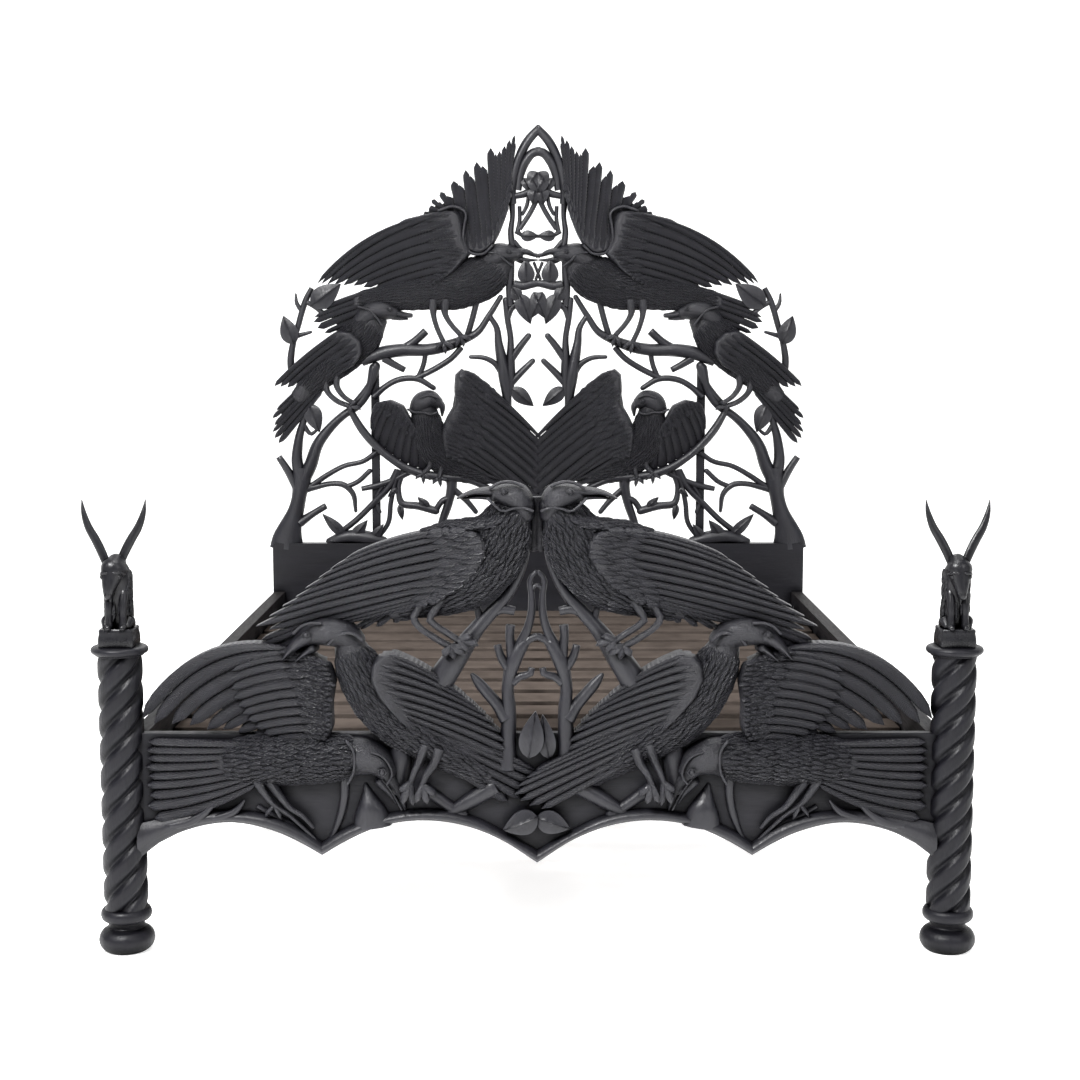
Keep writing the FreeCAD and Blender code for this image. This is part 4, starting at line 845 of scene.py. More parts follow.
SIDE_RAVEN = {
    "lock": (0.028, 0.004, 0.0036),
    "body": ((378, 318, 11, 0.8), (366, 332, 18, 1.0), (343, 354, 19, 1.0), (318, 378, 13, 0.8),
             (299, 398, 9, 0.5)),
    "shaggy": (0.06, 0.85, 0.03, 0.97),
    "fans": ({"root": ((306, 380), (324, 392)),
              "tips": ((277, 410), (273, 418), (275, 425), (273, 432), (275, 438), (279, 443)), "rise": 11,
              "tip": 4, "crown": 2, "shoulder": 0},
             {"root": ((338, 331), (352, 333), (362, 342), (363, 354), (354, 366)),
              "tips": ((275, 386), (281, 386.6), (288, 387.4), (296, 388), (305, 388), (314, 387.5),
                       (322, 386)), "bows": (0.03, 0.03), "rise": 37, "tip": 7, "crown": 5, "taper": 0.93}),
    "skull": (((361, 323, 10, 0.8), (371, 313, 11.5, 1.1), (384, 310.5, 10, 1.1), (396, 313, 6.2, 0.8)),
              ((393, 312, 4.8, 0.7), (404, 315, 3.2, 0.55), (412, 315.5, 2.2, 0.45)),
              ((393, 317, 3, 0.5), (402, 318.5, 2, 0.4), (408, 319, 0.9, 0.2))),
    "lines": ((((360, 307), (370, 310), (378, 318), (383, 325)), 2.2, 34),), "eye": (391, 309, 34, 0.0046),
    "legs": (((326, 376, 10, 8), (328, 391, 6, 12), (338, 401, 5.5, 12), (350, 406, 5, 12)),
             ((337, 372, 10, 8), (338, 387, 6, 14), (345, 397, 5, 14), (354, 403, 4.5, 14))),
    "feet": (((350, 406), ((357, 402), (360, 408), (352, 411)), 3.8, 12),),
}

SPREAD_RAVEN = {
    "lock": (0.026, 0.004, 0.0034),
    "body": ((424, 406, 12, 0.85), (427, 426, 16, 1.0), (434, 446, 18, 1.0), (456, 467, 13, 0.6),
             (486, 476, 9, 0.4)),
    "shaggy": (0.08, 0.95, 0.03, 0.97),
    "fans": ({"root": ((450, 456), (446, 474)), "tips": ((506, 478), (518, 484), (508, 487), (490, 484)),
              "rise": 14, "tip": 4, "crown": 2, "shoulder": 0},
             {"root": ((377, 403), (391, 400), (404, 406), (412, 420), (424, 438)),
              "tips": ((372, 430), (373, 437), (376, 444), (382, 450), (389, 456), (397, 461), (405, 465),
                       (414, 469), (424, 471)), "bows": (0.1, 0.0), "tip": 5, "crown": 4, "rib": 0.0045,
              "fill": 1.08, "taper": 0.95, "coverts": ((0.0, 0.2, 16), (0.1, 0.18, 15), (0.2, 0.16, 14)),
              "covert_height": 0.005},
             {"root": ((472, 373), (464, 370), (458, 376), (457, 390), (458, 404), (450, 418), (443, 434),
                       (446, 456)),
              "tips": ((541, 438), (547, 444), (547, 451), (547, 459), (547, 467), (547, 476), (547, 486),
                       (547, 496), (545, 505), (529, 496), (510, 484), (491, 477)), "bows": (-0.03, -0.02),
              "rise": 24, "tip": 8, "crown": 5, "rib": 0.0045, "fill": 1.08, "taper": 0.96,
              "coverts": ((-0.01, 0.12, 20), (0.05, 0.12, 19), (0.11, 0.12, 18), (0.17, 0.12, 17),
                          (0.23, 0.12, 16)), "covert_height": 0.0055}),
    "skull": (((419, 412, 10, 0.85), (423, 403, 11, 1.05), (431, 400, 9.5, 1.1), (439, 403.5, 6, 0.85)),
              ((436, 401, 5, 0.85), (442, 406, 3.6, 0.7), (442.5, 416, 1.0, 0.3))),
    "lines": ((((409, 409), (416, 412), (424, 412), (432, 414), (438, 412)), 2.2, 33),
              (((422, 397.5), (431, 395), (439, 397.5)), 1.6, 33)),
    "eye": (434.5, 400.5, 36, 0.0044),
    "legs": (((430, 454, 10, 8), (431, 465, 6, 14), (424, 473, 5, 16)),
             ((440, 456, 10, 8), (442, 467, 6, 14), (440, 477, 5, 16))),
    "feet": (((424, 473), ((417, 477), (424, 481), (430, 478)), 3.6, 14),
             ((440, 477), ((434, 482), (441, 484), (447, 480)), 3.6, 14)),
}

# Branches as ((column, row, width, out in mm) stations, kind of end), leaves as (stem, tip, width, out)

TREE = (
    (((287, 549, 34), (288, 540, 31), (291, 527, 23), (296, 510, 16), (300, 494, 15), (302, 480, 19),
      (302, 468, 17)), "flat"),
    (((301, 478, 13), (297, 458, 11), (299, 440, 9), (303, 424, 7), (308, 408, 5)), "round"),
    (((303, 480, 14), (311, 464, 13), (319, 443, 11), (331, 427, 9), (344, 415, 8), (359, 405, 8),
      (368, 392, 8), (374, 368, 9)), "round"),
    (((297, 488, 9), (289, 472, 8), (279, 457, 6.5)), "sawn"),
    (((300, 523, 10), (313, 514, 7), (326, 506, 6.5)), "sawn"),
    (((303, 491, 8), (313, 485, 6), (326, 476, 5.5), (345, 466, 5), (364, 461, 5), (377, 452, 5)), "round"),
    (((303, 490, 8), (316, 487, 6), (330, 484, 5.5), (344, 485, 6), (353, 493, 5.5), (356, 511, 3.5)),
     "round"),
    (((346, 487, 5), (358, 482, 5), (370, 471, 5)), "round"),
    (((303, 424, 5), (312, 434, 4), (317, 430, 3)), "round"),
)
TREE_LEAVES = (((310, 404), (320, 432), 18, 4), ((400, 504), (403, 520), 7, 2))
PERCH = (
    (((362, 362, 9), (380, 354, 13), (400, 350, 13), (427, 350, 12), (446, 346, 11), (463, 340, 9),
      (478, 332, 7), (489, 316, 6), (501, 297, 5)), "round"),
    (((402, 350, 9), (414, 342, 8), (426, 331, 8)), "sawn"),
    (((384, 358, 8), (394, 364, 7), (405, 370, 6)), "sawn"),
    (((374, 397, 7), (384, 388, 6), (398, 380, 6), (418, 379, 6), (434, 388, 5)), "round"),
    (((417, 378, 6), (435, 369, 6), (453, 357, 6), (462, 347, 6)), "flat"),
    (((426, 353, 5), (424, 364, 5), (418, 379, 5)), "flat"),
    (((477, 302, 6), (473, 318, 6), (467, 337, 6)), "flat"),
    (((352, 406, 6), (362, 396, 7), (371, 384, 8), (376, 366, 9)), "round"),
)
UNDERGROWTH = (
    (((349, 407, 6, 4), (362, 429, 8, 6), (376, 445, 8, 8), (391, 458, 8, 9), (405, 467, 8, 9),
      (424, 474, 9, 8), (444, 477, 8, 6), (466, 479, 7, 4), (488, 488, 6, 0)), "round"),
    (((362, 489, 5), (376, 486, 6), (391, 481, 6), (412, 471, 7)), "flat"),
    (((398, 470, 7), (391, 484, 7), (373, 504, 6), (358, 519, 6), (340, 533, 6)), "flat"),
    (((400, 470, 6), (394, 488, 5), (391, 504, 5), (389, 522, 5), (377, 540, 4)), "flat"),
    (((404, 470, 6), (399, 488, 5), (402, 503, 7), (418, 506, 8), (436, 511, 8)), "round"),
    (((446, 466, 12, -4), (452, 482, 11, -4), (449, 502, 9, -4), (443, 520, 8, -4), (438, 546, 8, -4)),
     "flat"),
    (((452, 488, 7, -4), (466, 500, 6, -4), (476, 512, 5, -4)), "round"),
    (((436, 510, 6), (444, 500, 6), (452, 498, 6)), "flat"),
    (((328, 543, 8), (346, 537, 13), (366, 538, 15), (384, 541, 9)), "round"),
    (((383, 486, 5, -2), (376, 500, 4, -2), (380, 512, 4, -2)), "round"),
)
UNDERGROWTH_LEAVES = (
    ((346, 536), (323, 514), 11, 4),
    ((352, 540), (368, 520), 12, 6),
    ((344, 541), (326, 541), 12, 4),
    ((372, 540), (384, 524), 9, 4),
    ((430, 508), (418, 497), 8, 3),
    ((398, 488), (388, 497), 6, 2),
)
SIDE_TWIG = (
    (((312, 288, 5), (306, 300, 6), (302, 312, 6), (299, 324, 6), (294, 340, 6), (291, 358, 7),
      (293, 380, 7)), "flat"),
    (((303, 312, 5), (297, 303, 4), (296, 294, 2)), "round"),
    (((297, 336, 5), (304, 334, 4), (311, 332, 3)), "round"),
    (((307, 302, 5), (314, 306, 5), (324, 314, 5)), "flat"),
)
SIDE_TWIG_LEAVES = (((294, 344), (284, 316), 18, 4), ((312, 306), (341, 284), 22, 4))
CENTRE_TRUNK = (
    (((508, 412, 8), (507, 392, 10), (505, 376, 13), (502, 358, 11), (499, 342, 8), (497, 328, 6),
      (490, 316, 5)), "round"),
    (((510, 396, 7), (511, 376, 9), (511, 356, 8), (511, 338, 6), (508, 320, 6), (506, 300, 6)), "round"),
    (((510, 362, 7), (520, 347, 7), (529, 336, 6)), "round"),
    (((509, 386, 7), (521, 373, 7), (533, 361, 5.5)), "round"),
    (((503, 374, 7), (496, 364, 6), (485, 358, 5), (471, 357, 4)), "round"),
    (((509, 392, 5), (513, 390, 4), (518, 390, 3)), "flat"),
    (((508, 318, 6), (512, 308, 6), (522, 302, 7)), "flat"),
)
CENTRE_TRUNK_LEAVES = (((512, 388), (534, 406), 15, 3),)
ARCH = (
    (((513, 204, 8), (512, 190, 9), (515, 172, 9), (521, 154, 9), (529, 140, 9), (540.5, 127, 8)), "flat"),
    (((518, 190, 8), (521, 174, 8), (526, 161, 9), (533, 153, 9), (541, 151, 9)), "flat"),
    (((515, 196, 6), (524, 194, 7), (533, 190, 8)), "flat"),
)
CROWN = (
    (((538, 198, 5), (531, 212, 5), (520, 229, 5)), "flat"),
    (((529, 196, 4), (527, 206, 4), (523, 214, 3.5)), "round"),
    (((512, 200, 7), (513, 216, 5), (511, 232, 6), (513, 248, 7)), "round"),
    (((520, 206, 4), (520, 220, 4), (518, 232, 5)), "flat"),
    (((516, 231, 5), (524, 236, 3.5), (540.5, 236, 3.5)), "flat"),
)
CROWN_LEAVES = (
    ((538, 172), (529, 186), 15, 6),
    ((536, 188), (533, 204), 14, 6),
    ((524, 178), (530, 192), 9, 4),
    ((521, 236), (539, 236), 11, 4),
    ((531, 176), (541, 196), 13, 8),
)
HEART = (
    (((514, 241, 5), (522, 250, 5), (531, 254, 4), (541, 256, 4)), "flat"),
    (((514, 284, 8), (522, 286, 9), (532, 284, 8), (541, 283, 6)), "flat"),
    (((511, 252, 8), (511, 270, 8), (510, 288, 8), (511, 306, 7)), "flat"),
    (((515, 258, 4), (522, 262, 3.5), (530, 262, 3.5)), "flat"),
    (((534, 262, 3), (538, 272, 3), (541, 280, 3)), "flat"),
)
HEART_LEAVES = (
    ((527, 284), (526, 259), 17, 4),
    ((520, 294), (531, 324), 17, 5),
    ((534, 292), (545, 318), 15, 8),
    ((512, 286), (522, 304), 13, 3),
)
FOOT_LIMB = (
    (((428, 702, 30), (440, 683, 28), (453, 662, 25), (466, 643, 20), (478, 628, 16), (493, 611, 14),
      (506, 597, 11), (517, 580, 9.5), (524, 562, 8.5), (528, 540, 8)), "flat"),
    (((490, 614, 12), (502, 609, 10), (515, 611, 9)), "sawn"),
    (((482, 624, 10), (479, 614, 7.5), (477, 605, 7)), "sawn"),
)
FOOT_TRUNK = (
    (((507, 768, 22), (508, 750, 18), (509, 728, 16), (509, 706, 14), (508, 690, 12.5), (510, 676, 13),
      (513, 664, 16), (518, 652, 15), (524, 643, 12)), "round"),
    (((514, 656, 13), (522, 642, 11), (528, 628, 9), (532, 610, 8), (532, 594, 6.5), (531, 578, 5.5),
      (536, 572, 4)), "round"),
    (((513, 662, 12), (511, 646, 10), (510, 634, 9), (511, 625, 9.5)), "sawn"),
    (((509, 668, 11), (502, 658, 9), (499, 649, 8), (498, 645, 8)), "sawn"),
    (((520, 650, 12), (528, 640, 9), (538, 636, 7)), "flat"),
    (((512, 682, 11), (521, 676, 8), (531, 673, 7.5), (532, 668, 7)), "sawn"),
    (((507, 718, 17), (498, 705, 13), (487, 692, 12), (478, 681, 10), (473, 675, 5)), "round"),
    (((531, 592, 5), (535, 586, 4.5), (538, 585, 4)), "flat"),
)
APRON_BRANCHES = (
    (((399, 792, 22), (400, 770, 23), (401, 752, 23), (398, 742, 16)), "round"),
    (((374, 826, 40), (372, 812, 34), (369, 798, 18), (366, 783, 3)), "flat"),
    (((448, 814, 10), (458, 808, 14), (476, 797, 18), (496, 785, 21)), "sawn"),
    (((424, 788, 14), (436, 796, 13), (450, 806, 12), (464, 814, 11)), "round"),
    (((345, 778, 11), (345, 796, 9), (341, 816, 8), (335, 832, 6), (327, 846, 5)), "round"),
    (((172, 824, 7, 14), (188, 821, 9, 14), (203, 814, 9, 14), (212, 806, 6, 16), (219, 798.5, 2, 18)),
     "round"),
    (((214, 817, 7, 14), (226, 814, 8, 14), (236, 810, 8, 14), (242, 804, 5, 16), (246, 798.5, 2, 18)),
     "round"),
    (((258, 806, 6), (276, 816, 7), (296, 826, 7), (312, 840, 6)), "round"),
)
FOOT_UPPER_LEAVES = (((529, 756), (536, 710), 25, 14), ((549, 757), (543, 714), 19, 8))
FOOT_LOWER_LEAVES = (((538, 814), (504, 827), 26, 18), ((537, 815), (570, 826), 24, 14))
SCALLOP_LOW = (
    ((140, 858), (160, 842), (191, 828), (232, 821.5), (275, 830), (302, 842), (323, 854)),
    ((323, 854), (345, 841), (382, 825), (428, 819.5), (470, 826), (500, 838), (537.5, 861.5)),
)
SCALLOP_HIGH = (
    ((140, 823), (160, 819), (191, 812), (232, 810), (275, 815), (302, 826), (323, 842)),
    ((323, 842), (345, 828), (382, 815), (428, 808.5), (470, 815), (500, 829), (537.5, 850)),
)


# Finishes

class Wiring:
    """Short ways to add nodes to a tree and to feed their sockets."""

    def __init__(self, tree):
        self.nodes = tree.nodes
        self.links = tree.links

    def feed(self, socket, value):
        """Links an output to the socket, or sets a constant on it."""
        if isinstance(value, bpy.types.NodeSocket):
            self.links.new(value, socket)
        else:
            socket.default_value = value

    def add(self, kind, settings=(), **values):
        """A node with its own settings; words of an input's name are joined by underscores."""
        node = self.nodes.new("ShaderNode" + kind)
        for key, setting in dict(settings).items():
            setattr(node, key, setting)
        for label, value in values.items():
            self.feed(node.inputs[label.replace("_", " ")], value)
        return node

    def math(self, operation, *values, clamp=False):
        node = self.add("Math", {"operation": operation, "use_clamp": clamp})
        for socket, value in zip(node.inputs, values):
            self.feed(socket, value)
        return node.outputs[0]

    def ramp(self, low, high, factor):
        """A colour ramp from one (position, colour) to another."""
        node = self.add("ValToRGB", Fac=factor)
        for element, (position, colour) in zip(node.color_ramp.elements, (low, high)):
            element.position = position
            element.color = (*colour, 1.0)
        return node.outputs["Color"]

    def mix(self, a, b, factor):
        return self.add("Mix", {"data_type": "RGBA"}, A=a, B=b, Factor=factor).outputs["Result"]


def shared_group(name, inputs, outputs, fill):
    """The node group of a name, built once; fill adds its nodes between inputs and outputs."""
    group = bpy.data.node_groups.get(name)
    if group is None:
        group = bpy.data.node_groups.new(name, "ShaderNodeTree")
        for label, kind, default in inputs:
            socket = group.interface.new_socket(name=label, in_out="INPUT", socket_type="NodeSocket" + kind)
            if default is not None:
                socket.default_value = default
        for label in outputs:
            group.interface.new_socket(name=label, in_out="OUTPUT", socket_type="NodeSocketFloat")
        entry = group.nodes.new("NodeGroupInput")
        leave = group.nodes.new("NodeGroupOutput")
        wire = Wiring(group)
        for socket, value in zip(leave.inputs, fill(wire, entry.outputs)):
            wire.feed(socket, value)
    return group


def wood_grain(wire, given):
    """Streaks and pores of close-grained wood, in a stretched space."""
    space = wire.add("VectorMath", {"operation": "MULTIPLY"})
    wire.feed(space.inputs[0], given["Vector"])
    wire.feed(space.inputs[1], given["Stretch"])
    place = space.outputs[0]
    broad = wire.add("TexNoise", Vector=place, Scale=given["Scale"], Detail=5.0, Distortion=0.6)
    fine = wire.add("TexNoise", Vector=place, Scale=wire.math("MULTIPLY", given["Scale"], PORE_FINENESS),
                    Detail=3.0, Roughness=0.7)
    pores = wire.math("SUBTRACT", fine.outputs["Fac"], PORE_LEVEL)
    return broad.outputs["Fac"], wire.math("MULTIPLY", pores, PORE_CONTRAST, clamp=True)


def worn_and_sheened_edges(wire, given):
    """A mask of raised edges, where handling has thinned the stain and a sheen is painted on."""
    shape = wire.add("NewGeometry")
    raised = wire.math("SUBTRACT", shape.outputs["Pointiness"], EDGE_LEVEL)
    raised = wire.math("MULTIPLY", raised, given["Reach"], clamp=True)
    place = wire.add("TexCoord")
    patch = wire.add("TexNoise", Vector=place.outputs["Object"], Scale=18.0, Detail=4.0)
    kept = wire.math("SUBTRACT", 1.0, wire.math("MULTIPLY", patch.outputs["Fac"], given["Breakup"]))
    return (wire.math("MULTIPLY", raised, kept, clamp=True),)


def painted_recess_shade(wire, given):
    """A mask of painted shade: it falls to zero in narrow cuts, where ambient light is shut out."""
    room = wire.add("AmbientOcclusion", {"samples": 6}, Distance=given["Width"])
    return (wire.math("POWER", room.outputs["AO"], given["Depth"]),)


def feather_barbs(wire, given):
    """Slanting barb cuts on both sides of a feather's shaft, from the carving's own run."""
    run = wire.add("SeparateXYZ")
    wire.feed(run.inputs[0], given["Run"])
    slanted = wire.math("MULTIPLY", wire.math("ABSOLUTE", run.outputs["X"]), given["Slant"])
    place = wire.math("SUBTRACT", run.outputs["Y"], slanted)
    turns = wire.math("MULTIPLY", place, given["Cuts per metre"])
    turns = wire.math("ADD", turns, wire.math("MULTIPLY", run.outputs["Z"], BARB_SHIFT))
    wave = wire.math("SINE", wire.math("MULTIPLY", turns, 2 * math.pi))
    return (wire.math("MULTIPLY_ADD", wave, 0.5, 0.5),)


# Effects that materials share: inputs with their defaults, outputs, and what fills the group
EFFECTS = {
    "Wood Grain": ((("Vector", "Vector", None), ("Scale", "Float", 30.0),
                    ("Stretch", "Vector", (1.0, 1.0, 1.0))), ("Streaks", "Pores"), wood_grain),
    # Wear on raised edges, with a painted sheen on them
    "Worn Edges": ((("Reach", "Float", 8.0), ("Breakup", "Float", 0.5)), ("Mask",), worn_and_sheened_edges),
    # Painted shade: ambient occlusion darkens narrow cuts
    "Recesses": ((("Width", "Float", 0.03), ("Depth", "Float", 1.6)), ("Open",), painted_recess_shade),
    "Feather Barbs": ((("Run", "Vector", None), ("Cuts per metre", "Float", 230.0), ("Slant", "Float", 1.3)),
                      ("Height",), feather_barbs),
}


def place_effect(wire, name, **values):
    """The outputs of a shared effect, placed with its own values."""
    group = shared_group(name, *EFFECTS[name])
    return wire.add("Group", {"node_tree": group}, **values).outputs


def new_material(name):
    """A material with its wiring and its surface shader."""
    material = bpy.data.materials.new(name)
    material.use_nodes = True
    return material, Wiring(material.node_tree), material.node_tree.nodes["Principled BSDF"]


def colours():
    return bpy.context.scene.carved_bed_colours


def sizes():
    return bpy.context.scene.carved_bed_sizes


def shade(colour, factor):
    """A share of a colour, which is given or named among the user's colours."""
    return tuple(c * factor for c in (getattr(colours(), colour) if isinstance(colour, str) else colour))


def stained_wood(name, dark, light, worn, rough, stretch=(1.0, 1.0, 1.0), scale=26.0, wear_and_sheen=0.5,
                 relief=0.0006, barbs=0.0, contrast=1.0, coat=0.0, reach=9.0, shine=0.4, painted_shade_width=0.03):
    """Stained wood: streaks, pores, worn edges with a painted sheen, painted shade in the cuts and, on
    feathers, barb cuts.
    """
    dark, light, worn = (shade(*colour) for colour in (dark, light, worn))
    material, wire, surface = new_material(name)
    place = wire.add("TexCoord").outputs["Object"]
    grain = place_effect(wire, "Wood Grain", Vector=place, Scale=scale, Stretch=stretch)
    edges = place_effect(wire, "Worn Edges", Reach=reach, Breakup=0.7)["Mask"]
    unshaded = place_effect(wire, "Recesses", Width=painted_shade_width, Depth=1.7)["Open"]
    spread = STREAK_SPREAD / contrast
    stain = wire.ramp((0.5 - spread, dark), (0.5 + spread, light), grain["Streaks"])
    # Raised edges take the worn colour: partly wear, partly a painted sheen
    rubbed_and_sheened = wire.mix(stain, (*worn, 1.0), wire.math("MULTIPLY", edges, wear_and_sheen))
    # Painted shade: by the occlusion mask, the cuts take a share of the dark streak colour
    wire.feed(surface.inputs["Base Color"], wire.mix((*shade(dark, PAINTED_CUT_SHADE), 1.0), rubbed_and_sheened, unshaded))
    # Painted shade also takes the reflections out of the cuts
    wire.feed(surface.inputs["Specular IOR Level"], wire.math("MULTIPLY", unshaded, shine))
    sheen = wire.math("MULTIPLY_ADD", grain["Pores"], PORE_ROUGHNESS, rough - PORE_ROUGHNESS / 2)
    wire.feed(surface.inputs["Roughness"], wire.math("MULTIPLY_ADD", edges, -EDGE_POLISH, sheen))
    height = wire.math("MULTIPLY", grain["Pores"], PORE_HEIGHT)
    if barbs:
        run = wire.add("Attribute", {"attribute_name": "grain_run"}).outputs["Vector"]
        cuts = place_effect(wire, "Feather Barbs", Run=run, Cuts_per_metre=95.0, Slant=3.2)["Height"]
        height = wire.math("MULTIPLY_ADD", cuts, barbs, height)
    bump = wire.add("Bump", Strength=0.7, Distance=relief, Height=height)
    wire.feed(surface.inputs["Normal"], bump.outputs["Normal"])
    surface.inputs["Coat Weight"].default_value = coat
    surface.inputs["Coat Roughness"].default_value = 0.25
    return material


def plated_steel(name, dark, light):
    """Zinc-plated steel: a cool mottled metal with fine scratches."""
    material, wire, surface = new_material(name)
    surface.inputs["Metallic"].default_value = 1.0
    place = wire.add("TexCoord").outputs["Object"]
    grain = place_effect(wire, "Wood Grain", Vector=place, Scale=120.0, Stretch=(1.0, 0.3, 1.0))
    wire.feed(surface.inputs["Base Color"], wire.ramp((0.0, dark), (1.0, light), grain["Streaks"]))
    wire.feed(surface.inputs["Roughness"], wire.math("MULTIPLY_ADD", grain["Pores"], 0.2, 0.3))
    return material


# Each finish: its material's name, what makes it, and its values. A wood's colours are shares
# of a given colour or of a user's colour: dark streaks, light streaks, worn edges with a painted sheen.
FINISHES = {
    "feathers": ("black_carved_feathers", stained_wood, {
        "dark": ("stain", 0.75), "light": ("stain", 1.35), "worn": ("worn", 1.0), "rough": 0.39,
        "scale": 40.0, "wear_and_sheen": 0.6, "relief": 0.0024, "barbs": 1.5, "reach": 8.0}),
    "branches": ("black_carved_branches", stained_wood, {
        "dark": ("stain", 0.8), "light": ("stain", 1.3), "worn": ("worn", 0.9), "rough": 0.44,
        "stretch": (1.0, 1.0, 0.35), "scale": 34.0, "wear_and_sheen": 0.55, "relief": 0.0007}),
    "turned": ("black_turned_posts", stained_wood, {
        "dark": ("stain", 0.6), "light": ("stain", 1.0), "worn": ("worn", 0.7), "rough": 0.45,
        "stretch": (1.0, 1.0, 0.2), "scale": 30.0, "shine": 0.22}),
    "finials": ("black_gloss_finials", stained_wood, {
        "dark": ("stain", 0.45), "light": ("stain", 0.7), "worn": ("worn", 0.4), "rough": 0.36,
        "stretch": (1.0, 1.0, 0.5), "scale": 40.0, "coat": 0.12, "shine": 0.3}),
    "boards": ("black_stained_boards", stained_wood, {
        "dark": ("stain", 0.6), "light": ("stain", 0.95), "worn": ("worn", 1.0), "rough": 0.5,
        "stretch": (0.12, 1.0, 1.0), "relief": 0.0005, "reach": 6.0, "shine": 0.24}),
    "rails": ("black_stained_rails", stained_wood, {
        "dark": ("stain", 0.5), "light": ("stain", 0.9), "worn": ((0.12, 0.105, 0.09), 1.0), "rough": 0.6,
        "stretch": (1.0, 0.1, 1.0), "wear_and_sheen": 0.8, "relief": 0.0005, "reach": 5.0, "shine": 0.1}),
    # The slats' wide painted shade darkens the gaps between and beneath them
    "slats": ("brown_stained_slats", stained_wood, {
        "dark": ("slats", 0.0), "light": ("slats", 0.10), "worn": ("slats", 2.8), "rough": 0.7,
        "stretch": (0.05, 1.0, 1.0), "wear_and_sheen": 0.9, "relief": 0.0008, "contrast": 1.8, "reach": 14.0,
        "shine": 0.0, "painted_shade_width": 0.16}),
    "plain": ("plain_softwood", stained_wood, {
        "dark": ((0.10, 0.066, 0.045), 1.0), "light": ((0.22, 0.155, 0.11), 1.0),
        "worn": ((0.3, 0.22, 0.15), 1.0), "rough": 0.62, "stretch": (1.0, 0.1, 1.0), "scale": 30.0,
        "wear_and_sheen": 0.3}),
    "steel": ("zinc_plated_steel", plated_steel, {"dark": (0.32, 0.33, 0.35), "light": (0.62, 0.63, 0.64)}),
}


def finish_material(finish):
    """The material of a finish, made when it is first asked for."""
    name, make, values = FINISHES[finish]
    return bpy.data.materials.get(name) or make(name, **values)


# Pieces from their CAD nodes and from carvings

def eased_copy(node, name, finish, ease):
    """A board with eased arrises, made on the outline of its CAD node."""
    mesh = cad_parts[node].data.copy()
    mesh.name = name

    def clean(shape):
        bmesh.ops.remove_doubles(shape, verts=shape.verts, dist=0.00002)
        bmesh.ops.dissolve_limit(shape, angle_limit=math.radians(0.5), verts=shape.verts, edges=shape.edges)

    rework(mesh, clean)
    piece = show(bpy.data.objects.new(name, mesh), (node,), finish)
    bevel = piece.modifiers.new("Eased arrises", "BEVEL")
    bevel.width = ease
    bevel.segments = 3
    bevel.limit_method = "ANGLE"
    bevel.angle_limit = math.radians(BOARD_SHARP_ANGLE)
    bevel.use_clamp_overlap = True
    smooth(mesh, BOARD_SHARP_ANGLE)


def lathe(carving, x, profile, corners=48):
    """A turning about a post's axis from (radius, height) stations."""
    carving.loft([[Vector((x + radius * math.cos(a), POST_Y + radius * math.sin(a), z))
                   for a in round_turns(corners)] for radius, z in profile])


def arc(middle_radius, middle_z, bulge, half_height, start, stop, count):
    """Stations of a rounded moulding, between two angles in degrees."""
    turns = [math.radians(start + (stop - start) * k / (count - 1)) for k in range(count)]
    return tuple((middle_radius + bulge * math.cos(a), middle_z + half_height * math.sin(a)) for a in turns)


# Turned profiles of a post, as (radius, height) stations in metres
LOWER_RING = ((0.040, 0.066), *arc(0.044, 0.079, 0.009, 0.013, -90, 90, 11), (0.040, 0.0925), (0.030, 0.0925))
COLLAR = ((0.047, 0.6295), (0.0495, 0.6305), (0.0500, 0.6335), *arc(0.052, 0.6415, 0.007, 0.0075, -85, 85, 9),
          (0.051, 0.6498), (0.046, 0.650))
BUN_FOOT = ((0.030, 0.0), (0.042, 0.0), (0.0445, 0.0012), *arc(0.037, 0.0245, 0.021, 0.0242, -66, 62, 16),
            (0.0405, 0.0478), (0.0385, 0.0492), (0.0392, 0.052), (0.0372, 0.0545), (0.0372, 0.0630),
            (0.0400, 0.0650), (0.040, 0.0662), (0.030, 0.0662))


def twist(carving, x):
    """The twisted part of a post, with its starts cut in along the height."""
    lead, depth = sizes().twist_lead, sizes().twist_depth
    rings = []
    for k in range(TWIST_STEPS + 1):
        z = TWIST_LOW - TWIST_OVERRUN + (TWIST_HIGH - TWIST_LOW + 2 * TWIST_OVERRUN) * k / TWIST_STEPS
        turn = 2 * math.pi * (z - TWIST_LOW) / lead
        ring = []
        for a in round_turns(TWIST_CORNERS):
            radius = TWIST_RADIUS - depth * ((1 + math.cos(TWIST_STARTS * a)) / 2) ** TWIST_GROOVE_POWER
            ring.append(Vector((x + radius * math.cos(a + turn), POST_Y + radius * math.sin(a + turn), z)))
        rings.append(ring)
    carving.loft(rings)


# A beast on its plinth: stations are (to its side, share of the lean, forward, height, radius),
# and a form is its stations and its corners. Limbs, brow, cheek and nostril are on both sides.
BEAST_BODY = (((0, 0, -0.014, 0.012, 0.029), (0, 0, -0.012, 0.034, 0.030), (0, 0, -0.006, 0.060, 0.028),
               (0, 0, -0.004, 0.088, 0.028), (0, 0, -0.003, 0.114, 0.027), (0, 0, -0.002, 0.134, 0.017)), 16)
BEAST_LIMBS = (
    (((0.021, 0, -0.006, 0.008, 0.013), (0.023, 0, 0.006, 0.014, 0.012),
      (0.022, 0, 0.020, 0.006, 0.008)), 16),
    (((0.014, 0, 0.010, 0.074, 0.011), (0.0145, 0, 0.020, 0.048, 0.0088), (0.0145, 0, 0.023, 0.022, 0.0074),
      (0.0145, 0, 0.025, 0.004, 0.0090)), 12),
    (((0.0145, 0, 0.027, 0.004, 0.0085), (0.0150, 0, 0.034, 0.003, 0.0065)), 12),
)
